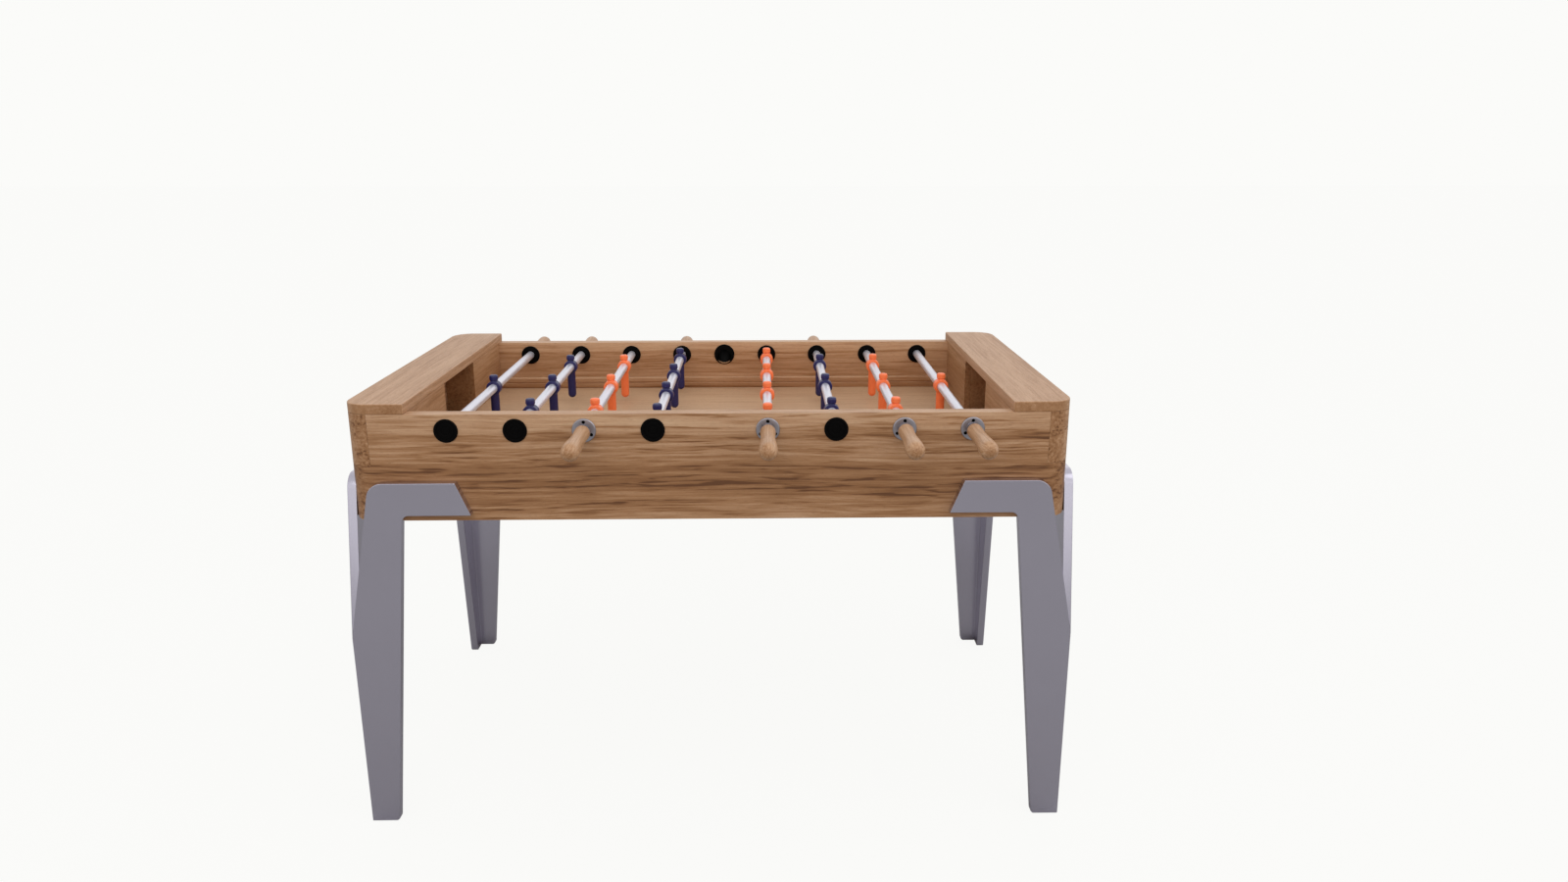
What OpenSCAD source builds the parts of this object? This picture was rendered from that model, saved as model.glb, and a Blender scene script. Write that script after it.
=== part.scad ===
// Foosball table: a wooden box on four angle-plate legs, with eight telescopic player rods.
// Millimetres. +Z is up, +X runs along the pitch, the orange team's handles are at -Y.
// The origin is on the floor, under the middle of the table.

/* [Body] */
// Length of the wooden box
body_l = 1450; // [1400:10:1800]
// Width of the wooden box
body_w = 840; // [680:10:1040]
// Height of the underside of the box above the floor
under_z = 679; // [560:1:820]
// Height of the long walls
wall_h = 220; // [205:1:280]
// Thickness of the long walls
wall_t = 30; // [26:1:36]
// Thickness of the end walls
end_t = 48; // [38:1:60]
// Radius of the upright corners
corner_r = 48; // [20:1:56]
// Height of the end wall's tongue that shows on the long walls at each corner
tongue_h = 106; // [60:1:140]
// Thickness of the end caps
cap_t = 21; // [12:1:30]
// Width of each end cap, along the table
cap_w = 121.5; // [100:0.5:150]

/* [Pitch] */
// Height of the pitch above the underside of the box
field_h = 97; // [90:1:110]
// Thickness of the pitch board
field_t = 12; // [8:1:18]
// Thickness of the goal walls
goal_wall_t = 15; // [10:1:20]
// Distance that a goal wall's face stands back under the cap's edge
goal_setback = 2.5; // [1:0.5:6]
// Width of a goal mouth
goal_w = 248; // [180:2:300]
// Height of the ledge along each long wall
ledge_h = 29; // [16:1:34]
// Thickness of the ledge
ledge_t = 8; // [5:1:12]

/* [Rods] */
// Height of the rod axes above the pitch
rod_h = 90; // [84:1:96]
// Diameter of the rod tubes
rod_d = 20; // [16:0.5:22]
// Wall of the rod tubes
tube_wall = 2.4; // [1.8:0.1:3]
// Diameter of the inner rods
inner_d = 12; // [8:0.5:12]
// Distance from a goalkeeper's rod to the edge of the cap
goal_rod_gap = 81.5; // [81:0.5:110]
// Distance between the two rods beside the middle line
middle_gap = 228; // [180:2:300]
// How far the four-man rods can be pulled out
travel_4 = 53; // [30:1:80]
// How far the three-man rods can be pulled out from the middle
travel_3 = 124; // [60:1:160]
// How far the goalkeepers' rods can be pulled out
travel_1 = 131; // [60:1:160]
// How far any rod can be pushed in
travel_in = 12; // [4:1:12]
// Where the goalkeepers and three-man rods stand at rest, from the middle of the table
rest_shift = -20; // [-30:1:30]

/* [Players] */
// Diameter of a player's hub round the rod
hub_d = 33; // [30:1:36]
// Length of the hub along the rod
hub_l = 22; // [18:1:28]
// Diameter of a player's head
head_d = 20; // [14:0.5:21]
// Height of the top of the head above the rod axis
head_h = 30; // [26:1:36]
// Diameter of a player's leg
leg_d = 20; // [16:0.5:22]
// Reach of the foot below the rod axis
foot_reach = 80.5; // [60:0.5:82]
// Diameter of the grub screw that fixes a player
grub_d = 5; // [4:0.5:6]

/* [Handles] */
// Length of a handle
handle_l = 163; // [120:1:190]
// Gap between a bearing plate and its handle at rest
handle_gap = 13; // [13:0.5:20]
// Diameter of a handle at its neck
neck_d = 31; // [28:0.5:36]
// Radius of the round edge at a handle's open end
neck_round = 5; // [1:0.5:5]
// Diameter of a handle at its waist
waist_d = 28.5; // [27:0.5:32]
// Diameter of a handle at its bulb
bulb_d = 35.5; // [32:0.5:40]
// Depth of the handle's socket for the tube
socket_l = 105; // [60:1:120]

/* [Bearings] */
// Diameter of the flanges of bearings and end cups
flange_d = 48; // [44:1:56]
// Thickness of those flanges
flange_t = 3.5; // [2:0.5:5]
// Diameter of the holes in the long walls
barrel_d = 28; // [26:1:30]
// Thickness of the metal bearing plates
plate_t = 4; // [3:0.5:6]
// Radius of the circle of screws in a bearing plate
screw_ring_r = 17; // [16:0.5:19]
// Diameter of a plate screw's head
screw_head_d = 7; // [5:0.5:8]
// Diameter of the ball entry's flange
entry_d = 54; // [50:1:60]
// Diameter of the ball entry's bore
entry_bore_d = 38; // [37:0.5:40]
// Slope of the ball entry's bore, in degrees
entry_slope = 20; // [10:1:24]

/* [Legs] */
// Thickness of the leg plates
leg_t = 19; // [12:1:24]
// Width of a plate at the foot, measured inwards from the body's corner
foot_w = 35; // [25:1:50]
// Width of a plate just under its arm, measured inwards from the body's corner
root_w = 107; // [80:1:130]
// Height of the lower edge of the arms above the underside of the box
arm_z = 16; // [8:1:30]
// Height of an arm
arm_h = 68; // [50:1:74]
// Reach of an arm along its lower edge, from the body's corner
arm_l = 245; // [200:1:270]
// Lean of an arm's slanted end
arm_lean = 28; // [0:1:40]
// Width left open at the top of an arm beside the body's corner
shoulder_w = 45; // [36:1:60]
// Height of the knee, where the plates meet, above the floor
knee_z = 430; // [300:5:470]
// Radius of an arm's shoulder
shoulder_r = 32; // [10:1:40]
// Radius of the fillet under an arm
fillet_r = 14; // [6:1:24]
// Diameter of the leg bolts
bolt_d = 8; // [6:1:10]

/* [Inside] */
// Thickness of the base panel
base_t = 9; // [6:1:12]
// Side of the square cleats
cleat = 18; // [14:1:20]
// Width of a ball tray
tray_w = 300; // [260:5:330]
// Height of a ball tray's floor above the base panel
tray_lift = 18; // [10:1:24]
// Thickness of a ball tray
tray_t = 4; // [3:0.5:6]
// Height of a ball tray's sides
tray_h = 50; // [40:1:60]
// Width of the ball return slots
slot_w = 150; // [120:5:200]
// Height of the ball return slots
slot_h = 50; // [45:1:54]

/* [Clearances] */
// Radial play of a tube in its bearing and of an inner rod in its socket
run_gap = 0.1; // [0.05:0.01:0.1]
// Radial play of a sliding piece inside or round another
slide_gap = 0.3; // [0.2:0.05:0.5]
// Radial play of pieces that are fixed on each other
fit_gap = 0.05; // [0.02:0.01:0.1]
// Gap left at the end of a stroke
stop_gap = 1; // [0.5:0.5:2]

/* [Hidden] */
$fn = 64;
cut = 1; // overshoot of a cut past the face it opens

half_l = body_l / 2;
half_w = body_w / 2;
inner_w = half_w - wall_t; // from the middle to a long wall's inner face
inner_l = half_l - end_t; // from the middle to an end wall's inner face
wall_top = under_z + wall_h;
base_top = under_z + base_t;
field_z = under_z + field_h;
rod_z = field_z + rod_h;
cap_edge = half_l - cap_w; // from the middle to a cap's inner edge
goal_face = cap_edge + goal_setback;
goal_back = goal_face + goal_wall_t;

// The rods, counted from the left end. Handles are at the rear (+1) or at the front (-1).
handle_side = [1, 1, -1, 1, -1, 1, -1, -1];
player_count = [1, 3, 3, 4, 4, 3, 3, 1];
ROD_COUNT = len(handle_side);
rod_pitch = (cap_edge - goal_rod_gap - middle_gap / 2) / 3;
function rod_x(i) = i < 4 ? -middle_gap / 2 - (3 - i) * rod_pitch : middle_gap / 2 + (i - 4) * rod_pitch;

// The outermost player that may still swing past the ledge
player_limit = inner_w - ledge_t - leg_d / 2 - stop_gap;
outer_3 = player_limit - travel_3;
outer_4 = player_limit - travel_4;
function rod_shift(i) = player_count[i] == 4 ? 0 : -rest_shift * handle_side[i];
function player_spots(i) = player_count[i] == 1 ? [rod_shift(i)]
    : player_count[i] == 3 ? [for (k = [-1:1]) rod_shift(i) + k * outer_3]
    : [for (k = [-3:2:3]) k * outer_4 / 3];
function travel_out(i) = player_count[i] == 1 ? travel_1
    : player_count[i] == 3 ? travel_3 + rod_shift(i)
    : travel_4;

// Stations along a rod, in its own frame: the handle is at -Y and the end cup at +Y
tube_in_cup = 2; // depth of the tube in the end cup at rest
cup_floor_t = 2; // closed end of the end cup's socket
tube_end = inner_w + tube_in_cup;
cup_bottom = tube_end + travel_in + stop_gap; // the tube's stop in the end cup
socket_end = half_w - cup_floor_t; // end of the inner rod's socket in the end cup
handle_start = half_w + plate_t + handle_gap;
tube_r = rod_d / 2;
bore_r = tube_r - tube_wall;
head_step = 1; // least step from the sliding head down to the narrowed mouth
inner_r = min(inner_d / 2, bore_r - head_step - slide_gap); // thinner in a thin tube
mouth_l = 14; // length of the narrowed mouth of the tube
head_l = 25; // length of the inner rod's sliding head

// Legs
arm_low = under_z + arm_z;
arm_top = arm_low + arm_h;
foot_cut = 5; // chamfer at the inner edge of a foot
arc_steps = 8; // straight pieces in a quarter turn of a leg's outline
bolt_z = arm_low + arm_h / 2;
bolt_inset = [135, 195]; // from the body's corner along an arm
bolt_bite = 13; // depth of the bolt's thread in the leg
bolt_head_d = 13; // round head of a leg bolt
bolt_head_h = 8; // height of that head

// Screws of the bearing plates
screw_r = 1.6; // radius of the shank
screw_l = 16; // depth of the screw's hole in the wall
screw_head_h = 2; // height of the flat head, sunk in the plate
plate_play = 1; // radial play of a tube in a bearing plate, beyond the sliding gap

// Screws of the base panel
panel_screw_r = 2; // radius of the shank
panel_head_r = 4.5; // radius of the head
panel_head_h = 3.5; // height of the head
panel_head_gap = 0.5; // play round and over a sunk head
panel_screw_inset = 40; // from the goal walls to the nearest screws
screw_bite = 10; // depth of the screws in the cleats

// Ball entry
entry_lap = 4; // how far its flanges lap over the edge of the hole
chute_reach = 60; // from the middle of the wall to the end of the open chute outside
chute_rim = 22; // height of the chute's rim above the rods' axis
chute_t = 3; // thickness of the chute

// Ball trays and returns
cheek_t = 12; // thickness of the boards behind the goal posts
tray_z = base_top + tray_lift;
slot_low = tray_z + tray_t;
tray_span = min(tray_w, 2 * (half_w - bolt_inset[1] - bolt_head_d / 2 - stop_gap)); // clear of the bolts

wood = [0.61, 0.46, 0.35];
cap_wood = [0.73, 0.61, 0.52];
dark_wood = [0.47, 0.33, 0.23];
handle_wood = [0.74, 0.60, 0.48];
leg_grey = [0.50, 0.49, 0.53];
steel = [0.76, 0.73, 0.78];
plate_grey = [0.55, 0.54, 0.56];
nylon = [0.05, 0.05, 0.05];
orange = [0.92, 0.39, 0.20];
navy = [0.16, 0.15, 0.29];

// ---------- helpers ----------

// A box from its low corner to its high corner
module box(low, high) {
    translate(low) cube(high - low);
}

// A round bar along Y from y0 to y1
module bar(y0, y1, r) {
    translate([0, y1, 0]) rotate([90, 0, 0]) cylinder(h = y1 - y0, r = r);
}

// A round bar along X from x0 to x1
module cross_bar(x0, x1, r) {
    translate([x0, 0, 0]) rotate([0, 90, 0]) cylinder(h = x1 - x0, r = r);
}

// A hole along Y from y0 to y1, for a piece that is drawn at the front: side +1 puts it at the rear
module wall_bore(side, y0, y1, r) {
    mirror([0, side < 0 ? 0 : 1, 0]) bar(y0, y1, r);
}

// Puts a piece drawn in a rod's frame on rod i
module on_rod(i) {
    translate([rod_x(i), 0, rod_z]) rotate([0, 0, handle_side[i] < 0 ? 0 : 180]) children();
}

// Mirrors a piece of the left end to the right
module at_end(side) {
    mirror([side > 0 ? 1 : 0, 0, 0]) children();
}

// The plan of the body with its round corners, from low to high
module body_plan(low, high) {
    translate([0, 0, low]) linear_extrude(high - low) union() {
        square([body_l - 2 * corner_r, body_w], center = true);
        square([body_l, body_w - 2 * corner_r], center = true);
        for (sx = [-1, 1], sy = [-1, 1])
            translate([sx * (half_l - corner_r), sy * (half_w - corner_r)]) circle(r = corner_r);
    }
}

// Points of an arc in a plane
function arc(cx, cy, r, from, to, n) =
    [for (k = [0:n]) let (a = from + (to - from) * k / n) [cx + r * cos(a), cy + r * sin(a)]];

// ---------- the box ----------

module long_wall(side) {
    difference() {
        intersection() {
            body_plan(under_z, wall_top);
            box(
                [-half_l, side < 0 ? -half_w : inner_w, under_z],
                [half_l, side < 0 ? -inner_w : half_w, wall_top]
            );
        }
        for (sx = [-1, 1])
            translate([sx * (half_l - end_t / 2), side * half_w, wall_top - tongue_h / 2 + cut / 2])
                cube([end_t, 4 * wall_t, tongue_h + cut], center = true);
        for (i = [0:ROD_COUNT - 1])
            translate([rod_x(i), 0, rod_z]) wall_bore(side, -half_w - cut, -inner_w + cut, barrel_d / 2);
        for (i = [0:ROD_COUNT - 1])
            if (handle_side[i] == side)
                on_rod(i) plate_screw_spots() bar(-half_w - cut, -half_w + screw_l, screw_r + fit_gap);
        for (sx = [-1, 1], inset = bolt_inset)
            translate([sx * (half_l - inset), 0, bolt_z])
                wall_bore(side, -half_w - cut, -inner_w + cut, bolt_d / 2 + slide_gap);
        if (side > 0)
            translate([0, 0, rod_z]) wall_bore(side, -half_w - cut, -inner_w + cut, entry_d / 2 - entry_lap);
    }
}

module front_wall() { color(wood) long_wall(-1); }
module rear_wall() { color(wood) long_wall(1); }

// An end wall, drawn at the left: its upper part is a tongue that reaches through both long walls
module end_wall() {
    difference() {
        intersection() {
            body_plan(under_z, wall_top);
            union() {
                box([-half_l, -inner_w, under_z], [-inner_l, inner_w, wall_top]);
                box([-half_l, -half_w, wall_top - tongue_h], [-inner_l, half_w, wall_top]);
            }
        }
        translate([-half_l - cut, 0, slot_low + slot_h / 2]) {
            translate([0, -(slot_w - slot_h) / 2, -slot_h / 2])
                cube([end_t + 2 * cut, slot_w - slot_h, slot_h]);
            for (sy = [-1, 1])
                translate([0, sy * (slot_w - slot_h) / 2, 0]) cross_bar(0, end_t + 2 * cut, slot_h / 2);
        }
        for (sy = [-1, 1], inset = bolt_inset)
            translate([0, sy * (half_w - inset), bolt_z])
                cross_bar(-half_l - cut, -inner_l + cut, bolt_d / 2 + slide_gap);
    }
}

module left_end_wall() { color(wood) at_end(-1) end_wall(); }
module right_end_wall() { color(wood) at_end(1) end_wall(); }

// A goal wall, drawn at the left: the mouth is open up to the cap, and a cheek stands behind each post
module goal_wall() {
    difference() {
        union() {
            box([-goal_back, -inner_w, base_top], [-goal_face, inner_w, wall_top]);
            for (side = [-1, 1]) translate([0, side * (goal_w + cheek_t) / 2, 0])
                box([-inner_l, -cheek_t / 2, field_z - field_t], [-goal_back, cheek_t / 2, wall_top]);
        }
        box([-goal_back - cut, -goal_w / 2, field_z], [-goal_face + cut, goal_w / 2, wall_top + cut]);
    }
}

module left_goal_wall() { color(wood) at_end(-1) goal_wall(); }
module right_goal_wall() { color(wood) at_end(1) goal_wall(); }

module cap() {
    intersection() {
        body_plan(wall_top, wall_top + cap_t);
        box([-half_l, -half_w, wall_top], [-cap_edge, half_w, wall_top + cap_t]);
    }
}

module left_cap() { color(cap_wood) at_end(-1) cap(); }
module right_cap() { color(cap_wood) at_end(1) cap(); }

module playfield() {
    color(wood) box([-goal_face, -inner_w, field_z - field_t], [goal_face, inner_w, field_z]);
}

// The ledges have a groove along their middle
module side_ledges() {
    groove = 2;
    ledge_profile = [
        [0, 0], [ledge_t, 0],
        [ledge_t, ledge_h / 2 - groove], [ledge_t - groove, ledge_h / 2], [ledge_t, ledge_h / 2 + groove],
        [ledge_t, ledge_h - groove], [ledge_t - groove, ledge_h], [0, ledge_h]
    ];
    color(dark_wood)
        for (side = [-1, 1])
            mirror([0, side > 0 ? 0 : 1, 0]) translate([-goal_face, inner_w, field_z])
                rotate([90, 0, 90]) mirror([1, 0, 0]) linear_extrude(2 * goal_face) polygon(ledge_profile);
}

module base_panel() {
    color(dark_wood) difference() {
        box([-inner_l, -inner_w, under_z], [inner_l, inner_w, base_top]);
        panel_screw_spots() cylinder(h = base_t + cut, r = panel_screw_r + slide_gap);
        panel_screw_spots() translate([0, 0, -cut])
            cylinder(h = panel_head_h + panel_head_gap + cut, r = panel_head_r + panel_head_gap);
    }
}

// Square cleats: two carry the pitch and two hold the base panel's screws
module cleats() {
    color(dark_wood) {
        for (side = [-1, 1]) mirror([0, side > 0 ? 0 : 1, 0]) {
            box(
                [-goal_face, inner_w - cleat, field_z - field_t - cleat],
                [goal_face, inner_w, field_z - field_t]
            );
            difference() {
                box([-goal_face, inner_w - cleat, base_top], [goal_face, inner_w, base_top + cleat]);
                panel_screw_spots() cylinder(h = base_t + screw_bite + cut, r = panel_screw_r + fit_gap);
            }
        }
    }
}

module panel_screw_spots() {
    for (sx = [-1:1], sy = [-1, 1])
        translate([sx * (goal_face - panel_screw_inset), sy * (inner_w - cleat / 2), under_z]) children();
}

module panel_screws() {
    color(steel) panel_screw_spots() {
        cylinder(h = panel_head_h, r = panel_head_r);
        cylinder(h = base_t + screw_bite, r = panel_screw_r);
    }
}

// The trays catch the balls behind the goals and open on the return slots
module ball_trays() {
    color(nylon)
        for (side = [-1, 1])
            at_end(side) {
                box([-inner_l, -tray_span / 2, tray_z], [-goal_back, tray_span / 2, tray_z + tray_t]);
                for (sy = [-1, 1])
                    translate([0, sy * (tray_span - tray_t) / 2, 0])
                        box([-inner_l, -tray_t / 2, tray_z], [-goal_back, tray_t / 2, tray_z + tray_h]);
            }
}

// ---------- the legs ----------

// Outline of a leg plate. The first value runs inwards from the body's corner, the second up.
function leg_outline() =
    let (
        lean = atan((shoulder_w + leg_t) / (arm_top - knee_z)),
        setback = shoulder_r * tan((90 - lean) / 2),
        tilt = atan((root_w - foot_w - foot_cut) / (arm_low - foot_cut)),
        under = fillet_r * tan((90 - tilt) / 2),
        fillet_x = root_w - under * sin(tilt) + fillet_r * cos(tilt)
    )
    concat(
        [[-leg_t, 0], [foot_w, 0], [foot_w + foot_cut, foot_cut]],
        arc(fillet_x, arm_low - fillet_r, fillet_r, 180 - tilt, 90, arc_steps),
        [[arm_l, arm_low], [arm_l - arm_lean, arm_top]],
        arc(shoulder_w + setback, arm_top - shoulder_r, shoulder_r, 90, 180 - lean, arc_steps),
        [[-leg_t, knee_z]]
    );

// A leg, drawn at the front left corner: two plates that meet at the outer edge up to the knee
module leg() {
    difference() {
        union() {
            translate([-half_l, -half_w, 0]) rotate([90, 0, 0]) linear_extrude(leg_t) polygon(leg_outline());
            translate([-half_l, -half_w, 0]) mirror([1, -1, 0]) rotate([90, 0, 0])
                linear_extrude(leg_t) polygon(leg_outline());
        }
        for (inset = bolt_inset) {
            translate([-half_l + inset, 0, bolt_z])
                bar(-half_w - bolt_bite - stop_gap, -half_w + cut, bolt_d / 2 + fit_gap);
            translate([0, -half_w + inset, bolt_z])
                cross_bar(-half_l - bolt_bite - stop_gap, -half_l + cut, bolt_d / 2 + fit_gap);
        }
    }
}

module leg_at(sx, sy) {
    color(leg_grey) mirror([sx > 0 ? 1 : 0, 0, 0]) mirror([0, sy > 0 ? 1 : 0, 0]) leg();
}

module leg_front_left() { leg_at(-1, -1); }
module leg_front_right() { leg_at(1, -1); }
module leg_rear_left() { leg_at(-1, 1); }
module leg_rear_right() { leg_at(1, 1); }

// The bolts go in from the inside of the box
module leg_bolts() {
    color(steel)
        for (sx = [0, 1], sy = [0, 1], inset = bolt_inset) mirror([sx, 0, 0]) mirror([0, sy, 0]) {
            translate([-half_l + inset, 0, bolt_z]) {
                bar(-half_w - bolt_bite, -inner_w, bolt_d / 2);
                bar(-inner_w, -inner_w + bolt_head_h, bolt_head_d / 2);
            }
            translate([0, -half_w + inset, bolt_z]) {
                cross_bar(-half_l - bolt_bite, -inner_l, bolt_d / 2);
                cross_bar(-inner_l, -inner_l + bolt_head_h, bolt_head_d / 2);
            }
        }
}

// ---------- bearings and end cups ----------

// Places of the three screws in a bearing plate, along Y
module plate_screw_spots() {
    for (angle = [90, 210, 330])
        translate([screw_ring_r * cos(angle), 0, screw_ring_r * sin(angle)]) children();
}

// A bearing lines its wall with a flange inside
module bearings() {
    color(nylon)
        for (i = [0:ROD_COUNT - 1]) on_rod(i) difference() {
            union() {
                bar(-half_w, -inner_w, barrel_d / 2 - fit_gap);
                bar(-inner_w, -inner_w + flange_t, flange_d / 2);
            }
            bar(-half_w - cut, -inner_w + flange_t + cut, tube_r + run_gap);
        }
}

// A plate holds the bearing from the outside
module bearing_plates() {
    color(plate_grey)
        for (i = [0:ROD_COUNT - 1]) on_rod(i) difference() {
            bar(-half_w - plate_t, -half_w, flange_d / 2);
            bar(-half_w - plate_t - cut, -half_w + cut, tube_r + slide_gap + plate_play);
            plate_screw_spots() bar(-half_w - plate_t - cut, -half_w + cut, screw_r + fit_gap);
            plate_screw_spots()
                bar(-half_w - plate_t - cut, -half_w - plate_t + screw_head_h, screw_head_d / 2 + fit_gap);
        }
}

module plate_screws() {
    color(nylon)
        for (i = [0:ROD_COUNT - 1]) on_rod(i) plate_screw_spots() {
            bar(-half_w - plate_t, -half_w - plate_t + screw_head_h, screw_head_d / 2);
            bar(-half_w - plate_t + screw_head_h, -half_w + screw_l - stop_gap, screw_r);
        }
}

// An end cup is closed outside. The tube slides into it and the inner rod turns in its socket.
module end_cups() {
    color(nylon)
        for (i = [0:ROD_COUNT - 1]) on_rod(i) {
            difference() {
                union() {
                    bar(inner_w, half_w, barrel_d / 2 - fit_gap);
                    bar(half_w, half_w + flange_t, flange_d / 2);
                }
                bar(inner_w - cut, cup_bottom, tube_r + slide_gap);
                bar(inner_w - cut, socket_end, inner_r + run_gap);
            }
            difference() {
                bar(inner_w - flange_t, inner_w, flange_d / 2);
                bar(inner_w - flange_t - cut, inner_w + cut, tube_r + slide_gap);
            }
        }
}

// The ball entry's bore slopes down towards the pitch, from a chute that is open at the top
module ball_entry() {
    rim_r = entry_d / 2;
    bore_l = 3 * wall_t; // longer than the sloped bore needs
    color(nylon) translate([0, (inner_w + half_w) / 2, rod_z]) difference() {
        union() {
            bar(-wall_t / 2, wall_t / 2 + flange_t, rim_r - entry_lap - fit_gap);
            bar(-wall_t / 2 - flange_t, -wall_t / 2, rim_r);
            bar(wall_t / 2, wall_t / 2 + flange_t, rim_r);
            intersection() {
                rotate([entry_slope, 0, 0]) bar(0, bore_l, entry_bore_d / 2 + chute_t);
                translate([-rim_r, wall_t / 2, -rim_r])
                    cube([2 * rim_r, chute_reach - wall_t / 2, rim_r + chute_rim]);
            }
        }
        rotate([entry_slope, 0, 0]) bar(-bore_l, bore_l, entry_bore_d / 2);
    }
}

// ---------- the rods ----------

// Solid rod that turns in the end cup, with a sliding head inside the tube
module inner_rod(i) {
    head_end = tube_end - mouth_l - travel_out(i);
    color(steel) on_rod(i) {
        bar(head_end - head_l / 2, socket_end - stop_gap / 2, inner_r);
        bar(head_end - head_l, head_end, bore_r - run_gap);
    }
}

// Tube with a narrowed mouth that keeps the inner rod's head in, and the players' grub screws
module tube(i) {
    dimple = 1;
    seat = stop_gap / 2;
    color(steel) on_rod(i) {
        difference() {
            bar(-handle_start - socket_l, tube_end, tube_r);
            bar(-handle_start - socket_l - cut, tube_end - mouth_l, bore_r);
            bar(tube_end - mouth_l - cut, tube_end + cut, inner_r + slide_gap);
            for (y = player_spots(i))
                translate([0, y, 0]) cross_bar(tube_r - dimple, tube_r + cut, grub_d / 2 + fit_gap);
        }
        for (y = player_spots(i))
            translate([0, y, 0]) cross_bar(tube_r - dimple + fit_gap, hub_d / 2 - seat, grub_d / 2);
    }
}

// A player: a hub round the tube, a short round head and a leg with a round foot
module player() {
    difference() {
        union() {
            bar(-hub_l / 2, hub_l / 2, hub_d / 2);
            cylinder(h = head_h, r = head_d / 2);
            translate([0, 0, -foot_reach + leg_d / 2]) cylinder(h = foot_reach - leg_d / 2, r = leg_d / 2);
            translate([0, 0, -foot_reach + leg_d / 2]) sphere(r = leg_d / 2);
        }
        bar(-hub_l, hub_l, tube_r + fit_gap);
        cross_bar(0, hub_d, grub_d / 2 + fit_gap);
    }
}

module players(i) {
    color(handle_side[i] < 0 ? orange : navy) on_rod(i)
        for (y = player_spots(i)) translate([0, y, 0]) player();
}

// Turned handle: a neck, a slim waist, a bulb and a round nose
function smooth_step(a, b, t) = a + (b - a) * (1 - cos(180 * t)) / 2;
function handle_outline() =
    let (
        waist_share = 0.3,
        nose_share = 0.6,
        waist_at = waist_share * handle_l,
        nose = nose_share * bulb_d,
        bulb_at = handle_l - nose,
        steps = 8
    )
    concat(
        [for (k = [0:steps]) let (a = 90 * k / steps)
            [neck_d / 2 - neck_round * (1 - sin(a)), neck_round * (1 - cos(a))]],
        [for (k = [1:steps]) [smooth_step(neck_d, waist_d, k / steps) / 2,
            neck_round + (waist_at - neck_round) * k / steps]],
        [for (k = [1:steps]) [smooth_step(waist_d, bulb_d, k / steps) / 2,
            waist_at + (bulb_at - waist_at) * k / steps]],
        [for (k = [1:steps]) let (a = 90 * k / steps) [bulb_d / 2 * cos(a), bulb_at + nose * sin(a)]]
    );

module handle(i) {
    color(handle_wood) on_rod(i) translate([0, -handle_start, 0]) difference() {
        rotate([90, 0, 0]) rotate_extrude() polygon(concat([[0, 0]], handle_outline()));
        bar(-socket_l - stop_gap, cut, tube_r + fit_gap);
    }
}

// ---------- nodes ----------

front_wall();
rear_wall();
left_end_wall();
right_end_wall();
left_goal_wall();
right_goal_wall();
left_cap();
right_cap();
playfield();
side_ledges();
base_panel();
cleats();
panel_screws();
ball_trays();
leg_front_left();
leg_front_right();
leg_rear_left();
leg_rear_right();
leg_bolts();
bearings();
bearing_plates();
plate_screws();
end_cups();
ball_entry();
for (i = [0:ROD_COUNT - 1]) {
    inner_rod(i);
    tube(i);
    players(i);
    handle(i);
}
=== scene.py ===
"""Foosball table: a wooden table on four plate legs, with eight telescopic player rods.

Metres, +Z up, +X along the pitch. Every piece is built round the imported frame, board by board as in
a joinery shop, and is handed over to the body that carries it.
"""

import logging
import math
from contextlib import contextmanager
from dataclasses import dataclass
from enum import Enum
from typing import Any, Callable, Iterator, Sequence

import bmesh
import bpy
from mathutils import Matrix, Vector


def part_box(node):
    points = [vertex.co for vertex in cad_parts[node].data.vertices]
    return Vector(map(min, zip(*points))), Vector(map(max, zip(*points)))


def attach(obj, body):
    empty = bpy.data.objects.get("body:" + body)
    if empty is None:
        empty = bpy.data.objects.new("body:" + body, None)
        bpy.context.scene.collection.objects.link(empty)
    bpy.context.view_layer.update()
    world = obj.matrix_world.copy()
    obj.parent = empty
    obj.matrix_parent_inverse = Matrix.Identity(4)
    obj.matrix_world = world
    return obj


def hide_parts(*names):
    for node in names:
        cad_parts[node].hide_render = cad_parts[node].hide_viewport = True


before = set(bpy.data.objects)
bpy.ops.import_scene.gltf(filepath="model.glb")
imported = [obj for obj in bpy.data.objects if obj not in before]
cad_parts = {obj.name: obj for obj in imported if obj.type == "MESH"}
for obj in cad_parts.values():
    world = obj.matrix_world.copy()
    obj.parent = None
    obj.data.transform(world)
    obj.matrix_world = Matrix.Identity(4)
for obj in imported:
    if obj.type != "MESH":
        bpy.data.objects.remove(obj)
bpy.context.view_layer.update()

log = logging.getLogger("foosball")

TABLE = "table"
RODS = range(1, 9)
TEAMS = (1, 3, 3, 4, 4, 3, 3, 1)  # how many players stand on each rod
PAST = 0.01  # how far a cut runs past the face that it opens
WELD = 1e-6  # vertices closer than this are one
QUARTER = math.pi / 2
ALMOST_HALF = 0.4999  # of a slot's height, so that its round ends don't quite meet


class Axis(Enum):
    """The three directions of the frame."""

    X = Vector((1, 0, 0))
    Y = Vector((0, 1, 0))
    Z = Vector((0, 0, 1))


class Kind(Enum):
    """What an edit works on."""

    VERTICES = "VERT"
    EDGES = "EDGE"
    FACES = "FACE"


class Join(Enum):
    """How two solids are put together."""

    CUT = "DIFFERENCE"
    WELD = "UNION"


Colour = tuple[float, float, float]


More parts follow.
